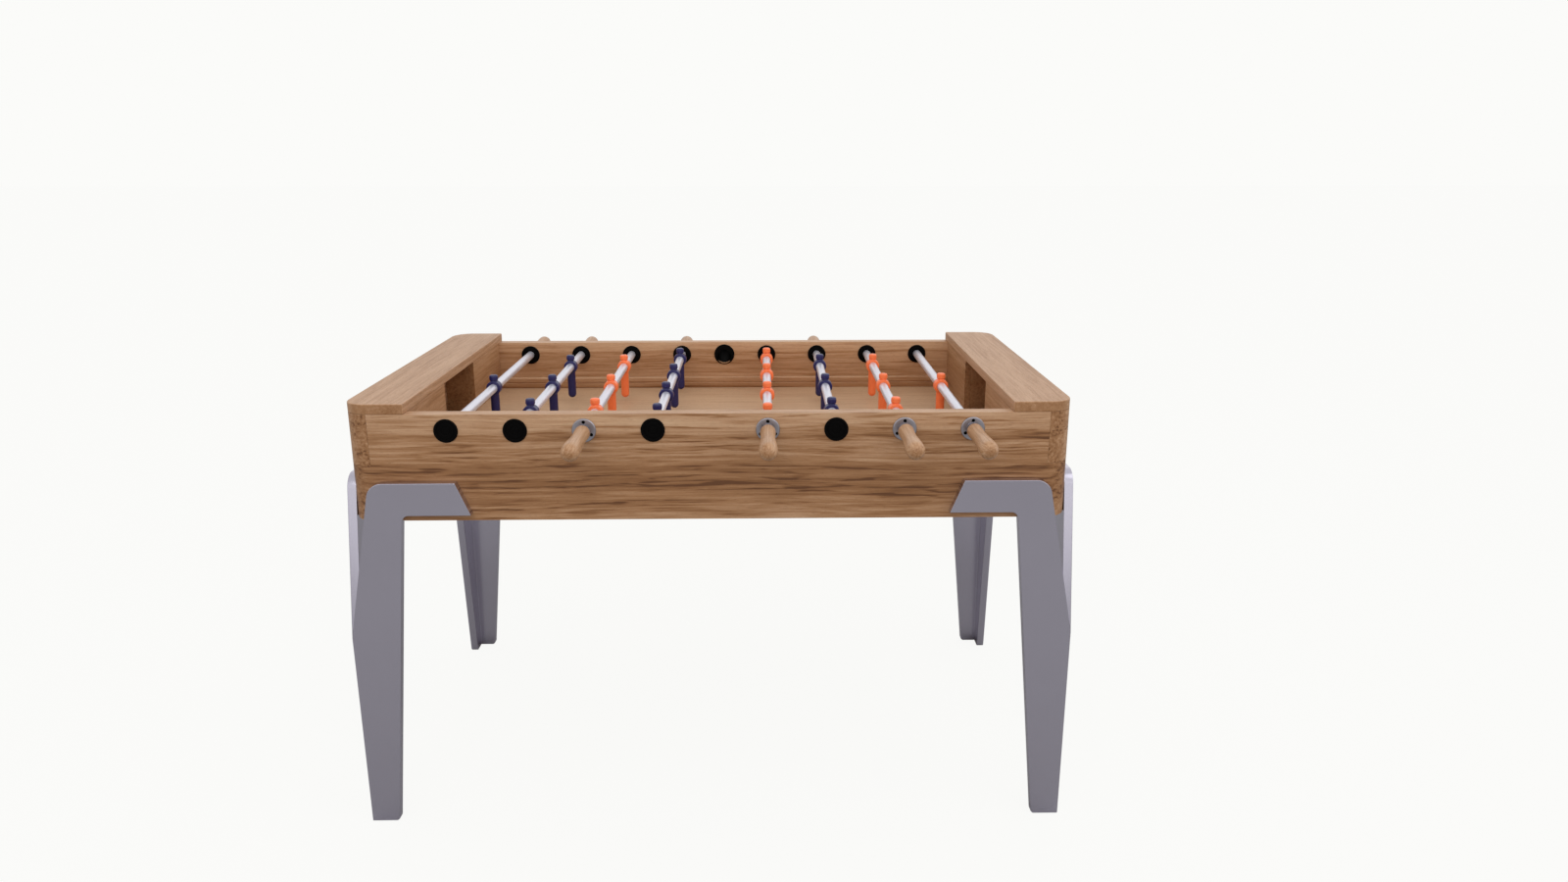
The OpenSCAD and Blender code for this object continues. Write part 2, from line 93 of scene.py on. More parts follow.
def tint(red: float, green: float, blue: float) -> Colour:
    """A colour as the eye sees it, turned into light.

    Args:
        red: Red, 0 to 255.
        green: Green, 0 to 255.
        blue: Blue, 0 to 255.

    Returns:
        The linear colour.
    """
    return tuple(
        c / 12.92 if c <= 0.04045 else ((c + 0.055) / 1.055) ** 2.4
        for c in (red / 255, green / 255, blue / 255)
    )


def rod_axis(number: int) -> Vector:
    """Where a rod's axis crosses the middle of the table, taken from its handle, which is round."""
    low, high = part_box(f"handle_{number}")
    return Vector(((low.x + high.x) / 2, 0, (low.z + high.z) / 2))


def at_rear(number: int) -> bool:
    """Whether a rod's handle is at the rear."""
    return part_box(f"handle_{number}")[0].y > 0


# ---------- the workbench ----------


class Bench:
    """Blender's own modelling operators, each aimed at one piece at a time."""

    @staticmethod
    def take(*pieces: bpy.types.Object) -> None:
        """Selects these pieces alone and makes the first one active.

        Args:
            pieces: The pieces to work on.
        """
        bpy.ops.object.select_all(action="DESELECT")
        for piece in pieces:
            piece.select_set(True)
        bpy.context.view_layer.objects.active = pieces[0]

    @staticmethod
    @contextmanager
    def editing(piece: bpy.types.Object, kind: Kind) -> Iterator[None]:
        """Opens a piece for editing with nothing selected.

        Args:
            piece: The piece to edit.
            kind: What the edit works on.

        Yields:
            Nothing, while the piece is open.
        """
        Bench.take(piece)
        bpy.ops.object.mode_set(mode="EDIT")
        bpy.ops.mesh.select_mode(type=kind.value)
        bpy.ops.mesh.select_all(action="DESELECT")
        yield
        bpy.ops.object.mode_set(mode="OBJECT")

    @staticmethod
    def pick(piece: bpy.types.Object, kind: Kind, wanted: Callable[[Any], bool]) -> None:
        """Selects part of the piece that is open for editing.

        Args:
            piece: The piece.
            kind: What is selected.
            wanted: Says of one vertex, edge or face whether it is selected.
        """
        mesh = bmesh.from_edit_mesh(piece.data)
        items = {Kind.VERTICES: mesh.verts, Kind.EDGES: mesh.edges, Kind.FACES: mesh.faces}[kind]
        for item in items:
            item.select_set(wanted(item))
        mesh.select_flush_mode()
        bmesh.update_edit_mesh(piece.data)

    @staticmethod
    def settle(piece: bpy.types.Object, name: str = "") -> bpy.types.Object:
        """Puts a piece's place into its mesh, merges doubles and turns its faces outwards.

        Args:
            piece: The piece.
            name: A new name for it, if it gets one.

        Returns:
            The same piece.
        """
        Bench.take(piece)
        bpy.ops.object.transform_apply(location=True, rotation=True, scale=True)
        with Bench.editing(piece, Kind.VERTICES):
            bpy.ops.mesh.select_all(action="SELECT")
            bpy.ops.mesh.remove_doubles(threshold=WELD)
            bpy.ops.mesh.normals_make_consistent(inside=False)
        if name:
            piece.name = piece.data.name = name
        return piece

    @staticmethod
    def block(name: str, one: Sequence[float], other: Sequence[float]) -> bpy.types.Object:
        """A square block to shape further.

        Args:
            name: The name of the piece.
            one: One corner.
            other: The corner farthest from it.

        Returns:
            The block.
        """
        low, high = (Vector([pick(pair) for pair in zip(one, other)]) for pick in (min, max))
        bpy.ops.object.select_all(action="DESELECT")
        bpy.ops.mesh.primitive_cube_add(size=1, location=(low + high) / 2, scale=high - low)
        return Bench.settle(bpy.context.object, name)

    @staticmethod
    def bar(name: str, start: Vector, end: Vector, radius: float, sides: int = 48) -> bpy.types.Object:
        """A round bar to bore or cut with.

        Args:
            name: The name of the piece.
            start: The middle of one end.
            end: The middle of the other end.
            radius: Its radius.
            sides: How many flats it has.

        Returns:
            The bar.
        """
        run = end - start
        turn = run.to_track_quat("Z", "Y").to_euler()
        bpy.ops.object.select_all(action="DESELECT")
        bpy.ops.mesh.primitive_cylinder_add(
            vertices=sides, radius=radius, depth=run.length, location=(start + end) / 2, rotation=turn
        )
        return Bench.settle(bpy.context.object, name)

    @staticmethod
    def line(name: str, points: Sequence[Vector], closed: bool) -> bpy.types.Object:
        """Draws a line from point to point, and fills it if it is closed.

        Args:
            name: The name of the piece.
            points: The corners in order.
            closed: Whether the last point is joined to the first and the outline is filled.

        Returns:
            The drawn piece.
        """
        bpy.ops.object.select_all(action="DESELECT")
        bpy.ops.mesh.primitive_plane_add(size=0.01)
        piece = bpy.context.object
        with Bench.editing(piece, Kind.VERTICES):
            bpy.ops.mesh.select_all(action="SELECT")
            bpy.ops.mesh.merge(type="CENTER")
            bpy.ops.transform.translate(value=points[0])
            for here, there in zip(points, points[1:]):
                bpy.ops.mesh.extrude_vertices_move(TRANSFORM_OT_translate={"value": there - here})
            if closed:
                ends = (points[0], points[-1])
                Bench.pick(
                    piece, Kind.VERTICES, lambda v: min((v.co - end).length for end in ends) < 10 * WELD
                )
                bpy.ops.mesh.edge_face_add()
                bpy.ops.mesh.select_all(action="SELECT")
                bpy.ops.mesh.edge_face_add()
        piece.name = piece.data.name = name
        return piece

    @staticmethod
    def board(name: str, points: Sequence[Vector], thickness: Vector) -> bpy.types.Object:
        """Draws an outline and pulls it out into a board.

        Args:
            name: The name of the piece.
            points: The corners of the outline.
            thickness: The way and the distance that it is pulled.

        Returns:
            The board.
        """
        piece = Bench.line(name, points, closed=True)
        with Bench.editing(piece, Kind.FACES):
            bpy.ops.mesh.select_all(action="SELECT")
            bpy.ops.mesh.extrude_region_move(TRANSFORM_OT_translate={"value": thickness})
        return Bench.settle(piece)

    @staticmethod
    def turned(
        name: str, profile: Sequence[tuple[float, float]], axis: Axis, centre: Vector, steps: int = 48
    ) -> bpy.types.Object:
        """Turns a profile on a lathe.

        Args:
            name: The name of the piece.
            profile: Pairs of a radius and a distance along the axis.
            axis: The axis of the lathe.
            centre: Where distance nought lies on the axis.
            steps: How many flats go round.

        Returns:
            The turned piece.
        """
        across = Axis.X if axis is not Axis.X else Axis.Z
        points = [centre + across.value * radius + axis.value * along for radius, along in profile]
        piece = Bench.line(name, points, closed=False)
        with Bench.editing(piece, Kind.VERTICES):
            bpy.ops.mesh.select_all(action="SELECT")
            bpy.ops.mesh.spin(steps=steps, angle=math.tau, center=centre, axis=axis.value)
        return Bench.settle(piece)

    @staticmethod
    def join(*pieces: bpy.types.Object) -> bpy.types.Object:
        """Makes one object of several, without merging their solids.

        Args:
            pieces: The pieces. The first one keeps its name.

        Returns:
            The first piece.
        """
        Bench.take(*pieces)
        if len(pieces) > 1:
            bpy.ops.object.join()
        return pieces[0]

    @staticmethod
    def combine(piece: bpy.types.Object, how: Join, *tools: bpy.types.Object) -> bpy.types.Object:
        """Cuts or welds a piece with others, which are used up.

        Args:
            piece: The piece that stays.
            how: Whether the others are cut out of it or welded to it.
            tools: The other pieces. Those that overlap each other go in separate calls.

        Returns:
            The piece that stays.
        """
        tool = Bench.join(*tools)
        Bench.take(piece)
        modifier = piece.modifiers.new(how.name, "BOOLEAN")
        modifier.operation = how.value
        modifier.solver = "EXACT"
        modifier.object = tool
        bpy.ops.object.modifier_apply(modifier=modifier.name)
        bpy.data.objects.remove(tool)
        return piece

    @staticmethod
    def slice(piece: bpy.types.Object, point: Sequence[float], away: Axis, sign: int) -> bpy.types.Object:
        """Saws a piece through and throws away the part on one side.

        Args:
            piece: The piece.
            point: A point on the saw cut.
            away: The direction square to the cut.
            sign: The side that is thrown away, +1 or -1.

        Returns:
            The piece.
        """
        with Bench.editing(piece, Kind.FACES):
            bpy.ops.mesh.select_all(action="SELECT")
            bpy.ops.mesh.bisect(
                plane_co=point, plane_no=away.value * sign, use_fill=True, clear_outer=True
            )
        return Bench.settle(piece)

    @staticmethod
    def round_edges(
        piece: bpy.types.Object, wanted: Callable[[Vector, Vector], bool], setback: float, steps: int
    ) -> bpy.types.Object:
        """Rounds chosen edges.

        Args:
            piece: The piece.
            wanted: Says of an edge, from its middle and its direction, whether it is rounded.
            setback: How far the rounding starts from the edge.
            steps: How many flats it has.

        Returns:
            The piece.
        """

        def chosen(edge: Any) -> bool:
            """Asks about one edge."""
            a, b = (v.co for v in edge.verts)
            return wanted((a + b) / 2, (b - a).normalized())

        with Bench.editing(piece, Kind.EDGES):
            Bench.pick(piece, Kind.EDGES, chosen)
            bpy.ops.mesh.bevel(
                offset_type="OFFSET", offset=setback, segments=steps, profile=0.5, affect="EDGES",
                clamp_overlap=False,
            )
        return Bench.settle(piece)

    @staticmethod
    def soften(
        piece: bpy.types.Object, width: float, steps: int = 2, sharp: float = 32.0, clamp: bool = False
    ) -> bpy.types.Object:
        """Breaks every sharp edge of a piece and shades it.

        Args:
            piece: The piece.
            width: How far the broken edge reaches.
            steps: How many flats it has.
            sharp: The least angle of a sharp edge, in degrees.
            clamp: Whether the width gives way where there is no room.

        Returns:
            The piece.
        """
        Bench.take(piece)
        modifier = piece.modifiers.new("broken_edges", "BEVEL")
        modifier.width = width
        modifier.segments = steps
        modifier.limit_method = "ANGLE"
        modifier.angle_limit = math.radians(sharp)
        modifier.use_clamp_overlap = clamp
        bpy.ops.object.modifier_apply(modifier=modifier.name)
        bpy.ops.object.shade_smooth_by_angle(angle=math.radians(sharp + 8))
        weights = piece.modifiers.new("flat_faces", "WEIGHTED_NORMAL")
        weights.keep_sharp = True
        bpy.ops.object.modifier_apply(modifier=weights.name)
        return piece

    @staticmethod
    def twin(
        piece: bpy.types.Object,
        name: str,
        move: Sequence[float] = (0, 0, 0),
        turn: float = 0.0,
        flip: Sequence[float] = (1, 1, 1),
    ) -> bpy.types.Object:
        """Copies a piece with a mesh of its own.

        Args:
            piece: The piece.
            name: The copy's name.
            move: Where the copy is moved.
            turn: How far it is turned round the upright axis through the origin.
            flip: -1 along each axis along which it is mirrored.

        Returns:
            The copy.
        """
        Bench.take(piece)
        bpy.ops.object.duplicate(linked=False)
        copy = bpy.context.object
        copy.scale = flip
        copy.rotation_euler = (0, 0, turn)
        copy.location = move
        bpy.ops.object.transform_apply(location=True, rotation=True, scale=True)
        if min(flip) < 0:
            Bench.settle(copy)
        copy.name = copy.data.name = name
        return copy

    @staticmethod
    def scrap(piece: bpy.types.Object) -> None:
        """Throws a piece away."""
        bpy.data.objects.remove(piece)


# ---------- shader nodes ----------


class Signal:
    """A value in a material. Arithmetic on it adds Math nodes."""

    def __init__(self, graph: "Graph", socket: bpy.types.NodeSocket) -> None:
        """Wraps an output of a node."""
        self.graph = graph
        self.socket = socket

    def maths(self, operation: str, *values: Any) -> "Signal":
        """Adds one Math node with these inputs, in order."""
        return self.graph.node("ShaderNodeMath", {"operation": operation}, dict(enumerate(values)))

    def __add__(self, other: Any) -> "Signal":
        """self + other."""
        return self.maths("ADD", self, other)

    def __radd__(self, other: Any) -> "Signal":
        """other + self."""
        return self.maths("ADD", other, self)

    def __sub__(self, other: Any) -> "Signal":
        """self - other."""
        return self.maths("SUBTRACT", self, other)

    def __rsub__(self, other: Any) -> "Signal":
        """other - self."""
        return self.maths("SUBTRACT", other, self)

    def __mul__(self, other: Any) -> "Signal":
        """self * other."""
        return self.maths("MULTIPLY", self, other)

    def __rmul__(self, other: Any) -> "Signal":
        """other * self."""
        return self.maths("MULTIPLY", other, self)

    def between(self, low: float, high: float) -> "Signal":
        """A smooth step from 0 at the low value to 1 at the high one."""
        settings = {"interpolation_type": "SMOOTHSTEP"}
        return self.graph.node("ShaderNodeMapRange", settings, {0: self, 1: low, 2: high})


class Graph:
    """The nodes of one material, or of the sky."""

    # the Mix node's colour sockets, which share their names with others
    MIX_BELOW = 6
    MIX_ABOVE = 7
    MIX_RESULT = 2

    def __init__(self, owner: bpy.types.Material | bpy.types.World) -> None:
        """Clears the nodes.

        Args:
            owner: The material or the sky.
        """
        self.owner = owner
        owner.use_nodes = True
        self.tree = owner.node_tree
        self.tree.nodes.clear()

    @classmethod
    def new(cls, name: str) -> "Graph":
        """Starts an empty material of this name."""
        return cls(bpy.data.materials.new(name))

    def node(
        self, kind: str, settings: dict[str, Any], inputs: dict[Any, Any], output: int | str | None = 0
    ) -> Signal | None:
        """Adds one node.

        Args:
            kind: Its type.
            settings: Its own settings. The key "stops" holds a ramp's places and colours.
            inputs: Values or signals for its inputs, by name or number.
            output: The name or number of the output that is read, or None if it has none.

        Returns:
            The output.
        """
        node = self.tree.nodes.new(kind)
        for key, value in settings.items():
            if key == "stops":
                self._set_stops(node.color_ramp, value)
            else:
                setattr(node, key, value)
        for key, value in inputs.items():
            if isinstance(value, Signal):
                self.tree.links.new(value.socket, node.inputs[key])
            else:
                node.inputs[key].default_value = value
        return None if output is None else Signal(self, node.outputs[output])

    @staticmethod
    def _set_stops(ramp: bpy.types.ColorRamp, stops: Sequence[tuple[float, Colour]]) -> None:
        """Fills a colour ramp.

        Args:
            ramp: The ramp.
            stops: Pairs of a place, 0 to 1, and a colour.
        """
        while len(ramp.elements) < len(stops):
            ramp.elements.new(1.0)
        for element, (place, colour) in zip(ramp.elements, stops):
            element.position = place
            element.color = (*colour, 1.0)

    def place(self) -> Signal:
        """Where a point of the piece lies, in metres."""
        return self.node("ShaderNodeTexCoord", {}, {}, output="Object")

    def facing(self) -> Signal:
        """Which way a point of the piece faces."""
        return self.node("ShaderNodeTexCoord", {}, {}, output="Normal")

    def split(self, spot: Signal) -> tuple[Signal, Signal, Signal]:
        """Takes a vector apart.

        Args:
            spot: The vector.

        Returns:
            Its three parts.
        """
        first = self.node("ShaderNodeSeparateXYZ", {}, {0: spot})
        outputs = first.socket.node.outputs
        return first, Signal(self, outputs[1]), Signal(self, outputs[2])

    def noise(
        self, spot: Signal, per_metre: Sequence[float], detail: float = 2.0, rough: float = 0.5,
        shift: Sequence[float] = (0, 0, 0), bend: float = 0.0,
    ) -> Signal:
        """Noise stretched along the axes.

        Args:
            spot: Where it is read.
            per_metre: How many waves fit in a metre along each axis.
            detail: How many finer layers it has.
            rough: How strong they are.
            shift: How far the pattern is moved, in waves.
            bend: How much it is distorted.

        Returns:
            The noise, 0 to 1.
        """
        stretched = self.node("ShaderNodeMapping", {}, {0: spot, 1: shift, 3: per_metre})
        values = {"Vector": stretched, "Scale": 1.0, "Detail": detail, "Roughness": rough, "Distortion": bend}
        return self.node("ShaderNodeTexNoise", {}, values)

    def ramp(self, value: Signal, stops: Sequence[tuple[float, Colour]]) -> Signal:
        """Turns a value into a colour, by pairs of a value and its colour."""
        return self.node("ShaderNodeValToRGB", {"stops": stops}, {0: value})

    def blend(self, factor: Any, below: Any, above: Any, mode: str = "MIX") -> Signal:
        """Lays one colour over another.

        Args:
            factor: How much of the upper colour shows.
            below: The lower colour.
            above: The upper colour.
            mode: How they are mixed.

        Returns:
            The mixed colour.
        """
        below, above = (v if isinstance(v, Signal) else (*v, 1.0) for v in (below, above))
        settings = {"data_type": "RGBA", "blend_type": mode}
        inputs = {0: factor, self.MIX_BELOW: below, self.MIX_ABOVE: above}
        return self.node("ShaderNodeMix", settings, inputs, output=self.MIX_RESULT)

    def shaded(self, colour: Colour, shade: Signal) -> Signal:
        """Makes one colour lighter where the shade is above 1 and darker where it is below."""
        grey = self.node("ShaderNodeCombineColor", {}, {0: shade, 1: shade, 2: shade})
        return self.blend(1.0, colour, grey, "MULTIPLY")

    def warp(self, spot: Signal, push: Signal, along: Vector) -> Signal:
        """Pushes the places at which a pattern is read along one way."""
        shift = self.node("ShaderNodeVectorMath", {"operation": "SCALE"}, {0: along, 3: push})
        return self.node("ShaderNodeVectorMath", {"operation": "ADD"}, {0: spot, 1: shift})

    def bump(self, height: Signal, depth: float, strength: float) -> Signal:
        """A normal that follows a height from 0 to 1, which stands for this depth in metres."""
        return self.node("ShaderNodeBump", {}, {"Strength": strength, "Distance": depth, "Height": height})

    def surface(self, **inputs: Any) -> bpy.types.Material:
        """Closes the material with a principled surface.

        Args:
            inputs: The surface's inputs, with _ for a space in their names.

        Returns:
            The finished material.
        """
        named = {key.replace("_", " "): value for key, value in inputs.items()}
        for key, value in named.items():
            if isinstance(value, tuple) and len(value) == 3:
                named[key] = (*value, 1.0)
        shader = self.node("ShaderNodeBsdfPrincipled", {}, named)
        self.node("ShaderNodeOutputMaterial", {}, {"Surface": shader}, output=None)
        return self.owner


# ---------- finishes ----------


OAK = (
    (0.0, tint(207, 171, 136)),
    (0.3, tint(191, 150, 115)),
    (0.55, tint(166, 122, 84)),
    (0.8, tint(141, 97, 60)),
    (1.0, tint(104, 66, 38)),
)


@dataclass(frozen=True)
class Wood:
    """Oiled oak with straight grain, darker on its end grain."""

    name: str
    grain: Axis
    shift: tuple[float, float, float]
    level: float = 0.4  # how deep the tone is, from 0 to 1
    contrast: float = 1.0  # how far the grain departs from that level
    streaks: float = 1.0  # how strong the short dark streaks are
    close: float = 1.0  # how close the grain lies
    warmth: float = 0.0  # how much redder than the rest
    levels: tuple[tuple[float, float], ...] = ()  # the level at each share of the height, if it varies
    heights: tuple[float, float] = (0.679, 0.899)  # the heights of share 0 and share 1
    gloss: float = 0.42  # the mean roughness

    def stretch(self, along: float, across: float) -> tuple[float, ...]:
        """The waves in a metre along X, Y and Z, from those along and across the grain."""
        return tuple(along if part else across * self.close for part in self.grain.value)

    def material(self) -> bpy.types.Material:
        """Builds the finish.

        Returns:
            The material.
        """
        graph = Graph.new(self.name)
        spot = graph.place()
        sway = graph.noise(spot, self.stretch(1.8, 9.0), 2.0, shift=self.shift)
        aside = Vector([0.0 if part else 1.0 for part in self.grain.value])
        spot = graph.warp(spot, (sway - 0.5) * 0.028, aside)
        bands = graph.noise(spot, self.stretch(1.1, 36.0), 3.0, 0.55, self.shift)
        lines = graph.noise(spot, self.stretch(4.5, 165.0), 3.0, 0.62, self.shift, 0.15)
        dashes = graph.noise(spot, self.stretch(10.0, 165.0), 2.0, 0.5, self.shift, 0.35)
        fibre = graph.noise(spot, self.stretch(26.0, 1100.0), 3.0, 0.6, self.shift)
        pores = graph.noise(spot, self.stretch(70.0, 2200.0), 1.0, 0.5, self.shift)
        level = self.level_by_height(graph, spot) if self.levels else self.level
        dark = dashes.between(0.5, 0.68) * bands.between(0.34, 0.6) * self.streaks
        depth = (bands - 0.5) * (0.42 * self.contrast) + level
        depth = depth + (lines - 0.5) * (1.1 * self.contrast) + (fibre - 0.5) * 0.22
        depth = depth + dark * 0.34 + self.end_grain(graph) * 0.2
        tone = graph.ramp(depth, OAK)
        tone = graph.blend(1.0, tone, (1.0, 1.0 - self.warmth, 1.0 - 2 * self.warmth), "MULTIPLY")
        pits = pores.between(0.6, 0.7)
        tone = graph.blend(pits * 0.4, tone, OAK[-1][1])
        relief = fibre * 0.5 + (1.0 - pits) * 0.3 + (1.0 - dark) * 0.2
        return graph.surface(
            Base_Color=tone,
            Roughness=fibre * 0.14 + pits * 0.12 + (self.gloss - 0.07),
            Normal=graph.bump(relief, 0.0002, 0.5),
            Specular_IOR_Level=0.36,
        )

    def level_by_height(self, graph: Graph, spot: Signal) -> Signal:
        """How deep the tone is at each height of a board.

        Args:
            graph: The material's graph.
            spot: Where it is read.

        Returns:
            The depth, 0 to 1.
        """
        height = graph.split(spot)[2]
        low, high = self.heights
        share = graph.node("ShaderNodeMapRange", {}, {0: height, 1: low, 2: high})
        drift = graph.noise(spot, (0.9, 0.9, 0.9), 1.0, shift=self.shift)
        stops = [(place, (tone, tone, tone)) for place, tone in self.levels]
        return graph.ramp(share, stops) + (drift - 0.5) * 0.2

    def end_grain(self, graph: Graph) -> Signal:
        """0 where the surface runs along the grain and 1 where it cuts across it."""
        facing = graph.split(graph.facing())[list(self.grain.value).index(1.0)]
        return facing.maths("ABSOLUTE", facing).between(0.6, 0.95)


@dataclass(frozen=True)
class Coating:
    """Satin powder coat with metal flake, as on the legs."""

    name: str = "leg_coat"
    colour: Colour = tint(201, 197, 211)
    roughness: float = 0.21

    def material(self) -> bpy.types.Material:
        """Builds the finish.

        Returns:
            The material.
        """
        graph = Graph.new(self.name)
        spot = graph.place()
        clouds = graph.noise(spot, (9, 9, 9), 3.0)
        flake = graph.noise(spot, (2600, 2600, 2600), 1.0)
        peel = graph.noise(spot, (420, 420, 420), 2.0)
        shade = (clouds - 0.5) * 0.05 + (flake - 0.5) * 0.1 + 1.0
        return graph.surface(
            Base_Color=graph.shaded(self.colour, shade),
            Metallic=1.0,
            Roughness=clouds * 0.06 + flake * 0.05 + self.roughness - 0.055,
            Normal=graph.bump(peel, 0.00002, 0.5),
        )


@dataclass(frozen=True)
class Metal:
    """Drawn or turned bright metal with fine marks along one axis."""

    name: str
    colour: Colour
    along: Axis = Axis.Y
    roughness: float = 0.24
    metallic: float = 1.0

    def material(self) -> bpy.types.Material:
        """Builds the finish.

        Returns:
            The material.
        """
        graph = Graph.new(self.name)
        spot = graph.place()
        marks = graph.noise(spot, tuple(18.0 if part else 2400.0 for part in self.along.value), 2.0)
        cloud = graph.noise(spot, (22, 22, 22), 3.0)
        shade = (marks - 0.5) * 0.12 + (cloud - 0.5) * 0.12 + 1.0
        return graph.surface(
            Base_Color=graph.shaded(self.colour, shade),
            Metallic=self.metallic,
            Roughness=marks * 0.1 + cloud * 0.08 + self.roughness - 0.09,
            Normal=graph.bump(marks, 0.00001, 0.5),
        )


@dataclass(frozen=True)
class Plastic:
    """Moulded plastic with a faint texture."""

    name: str
    colour: Colour
    roughness: float = 0.36
    uneven: float = 0.08
    sheen: float = 0.5

    def material(self) -> bpy.types.Material:
        """Builds the finish.

        Returns:
            The material.
        """
        graph = Graph.new(self.name)
        spot = graph.place()
        flow = graph.noise(spot, (45, 45, 45), 3.0)
        grit = graph.noise(spot, (1500, 1500, 1500), 2.0)
        shade = (flow - 0.5) * self.uneven * 2 + 1.0
        return graph.surface(
            Base_Color=graph.shaded(self.colour, shade),
            Roughness=grit * 0.1 + flow * 0.08 + self.roughness - 0.09,
            Normal=graph.bump(grit, 0.00003, 0.4),
            Specular_IOR_Level=self.sheen,
        )


class Finishes:
    """Every finish of the table, each built once."""

    def __init__(self) -> None:
        """Builds the finishes."""
        front = (
            (0.0, 0.46), (0.13, 0.53), (0.22, 0.62), (0.33, 0.67), (0.5, 0.67), (0.57, 0.54), (0.62, 0.41),
            (0.72, 0.4), (0.77, 0.6), (0.82, 0.39), (0.86, 0.29), (1.0, 0.26),
        )
        rear = (
            (0.0, 0.34), (0.55, 0.35), (0.6, 0.35), (0.7, 0.38), (0.85, 0.37), (0.87, 0.5), (0.9, 0.2),
            (1.0, 0.16),
        )
        # Painted light on the ledge, from its foot to its top: a painted shadow line where it meets the
        # pitch, painted shade in its middle groove and a painted highlight along its top bevel.
        ledge = (
            (0.0, 0.9), (0.08, 0.6), (0.45, 0.42), (0.5, 0.6), (0.55, 0.42), (0.85, 0.4), (0.92, 0.1),
            (1.0, 0.1),
        )
        calm = {"contrast": 0.6, "streaks": 0.3}
        x, y = Axis.X, Axis.Y
        woods = {
            "front": Wood("front_wall_oak", x, (3.1, 7.7, 1.3), levels=front),
            "rear": Wood(
                "rear_wall_oak", x, (9.4, 2.2, 5.1), levels=rear, contrast=0.7, streaks=0.5, warmth=0.03
            ),
            "left_end": Wood("left_end_oak", y, (5.0, 1.9, 3.6), level=0.42),
            "right_end": Wood("right_end_oak", y, (1.7, 8.1, 6.2), level=0.42),
            "goal": Wood("goal_wall_oak", y, (4.2, 4.4, 8.8), level=0.48, contrast=0.7, streaks=0.4),
            "cap": Wood("cap_oak", y, (2.6, 6.3, 0.7), level=0.39, **calm),
            "pitch": Wood("pitch_oak", x, (7.9, 3.3, 2.4), level=0.03, contrast=0.75, streaks=0.5),
            # The ledge's finish paints its shadow line, the shade in its groove and the highlight on its top,
            # all by height.
            "ledge": Wood(
                "ledge_oak_painted_light", x, (6.6, 0.4, 9.2), warmth=0.03, levels=ledge, heights=(0.776, 0.805), **calm
            ),
            "inside": Wood("inside_oak", x, (0.3, 5.8, 4.9), level=0.6),
            "handle": Wood(
                "handle_oak", y, (8.5, 0.9, 7.0), level=0.36, contrast=0.8, streaks=0.5, close=1.8, gloss=0.38
            ),
        }
        self.wood = {key: wood.material() for key, wood in woods.items()}
        self.coat = Coating().material()
        self.steel = Metal("rod_steel", tint(226, 226, 236), roughness=0.36, metallic=0.6).material()
        self.plate = Metal("plate_metal", tint(172, 170, 178), x, roughness=0.34).material()
        self.nylon = Plastic(
            "black_nylon", tint(7, 6, 6), roughness=0.5, uneven=0.2, sheen=0.04
        ).material()
        self.orange = Plastic("orange_plastic", tint(255, 124, 70)).material()
        self.navy = Plastic("navy_plastic", tint(28, 28, 84)).material()


def dress(piece: bpy.types.Object, finish: bpy.types.Material) -> bpy.types.Object:
    """Gives a new piece its finish.

    Args:
        piece: The piece.
        finish: The material.

    Returns:
        The piece.
    """
    piece.data.materials.clear()
    piece.data.materials.append(finish)
    return piece


def dress_node(name: str, finish: bpy.types.Material) -> None:
    """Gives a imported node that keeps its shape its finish.

    Args:
        name: The node.
        finish: The material.
    """
    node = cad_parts[name]
    if not node.material_slots:
        node.data.materials.append(finish)
    for slot in node.material_slots:
        slot.material = finish
    log.info("%s keeps its shape", name)


def hand_over(piece: bpy.types.Object, body: str, slot: str, node: str) -> None:
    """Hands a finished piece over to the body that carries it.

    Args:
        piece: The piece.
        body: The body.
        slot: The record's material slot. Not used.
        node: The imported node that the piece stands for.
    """
    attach(piece, body)
    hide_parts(node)
    log.info("%s rides on %s: %d faces", piece.name, body, len(piece.data.polygons))


# ---------- the wooden box ----------


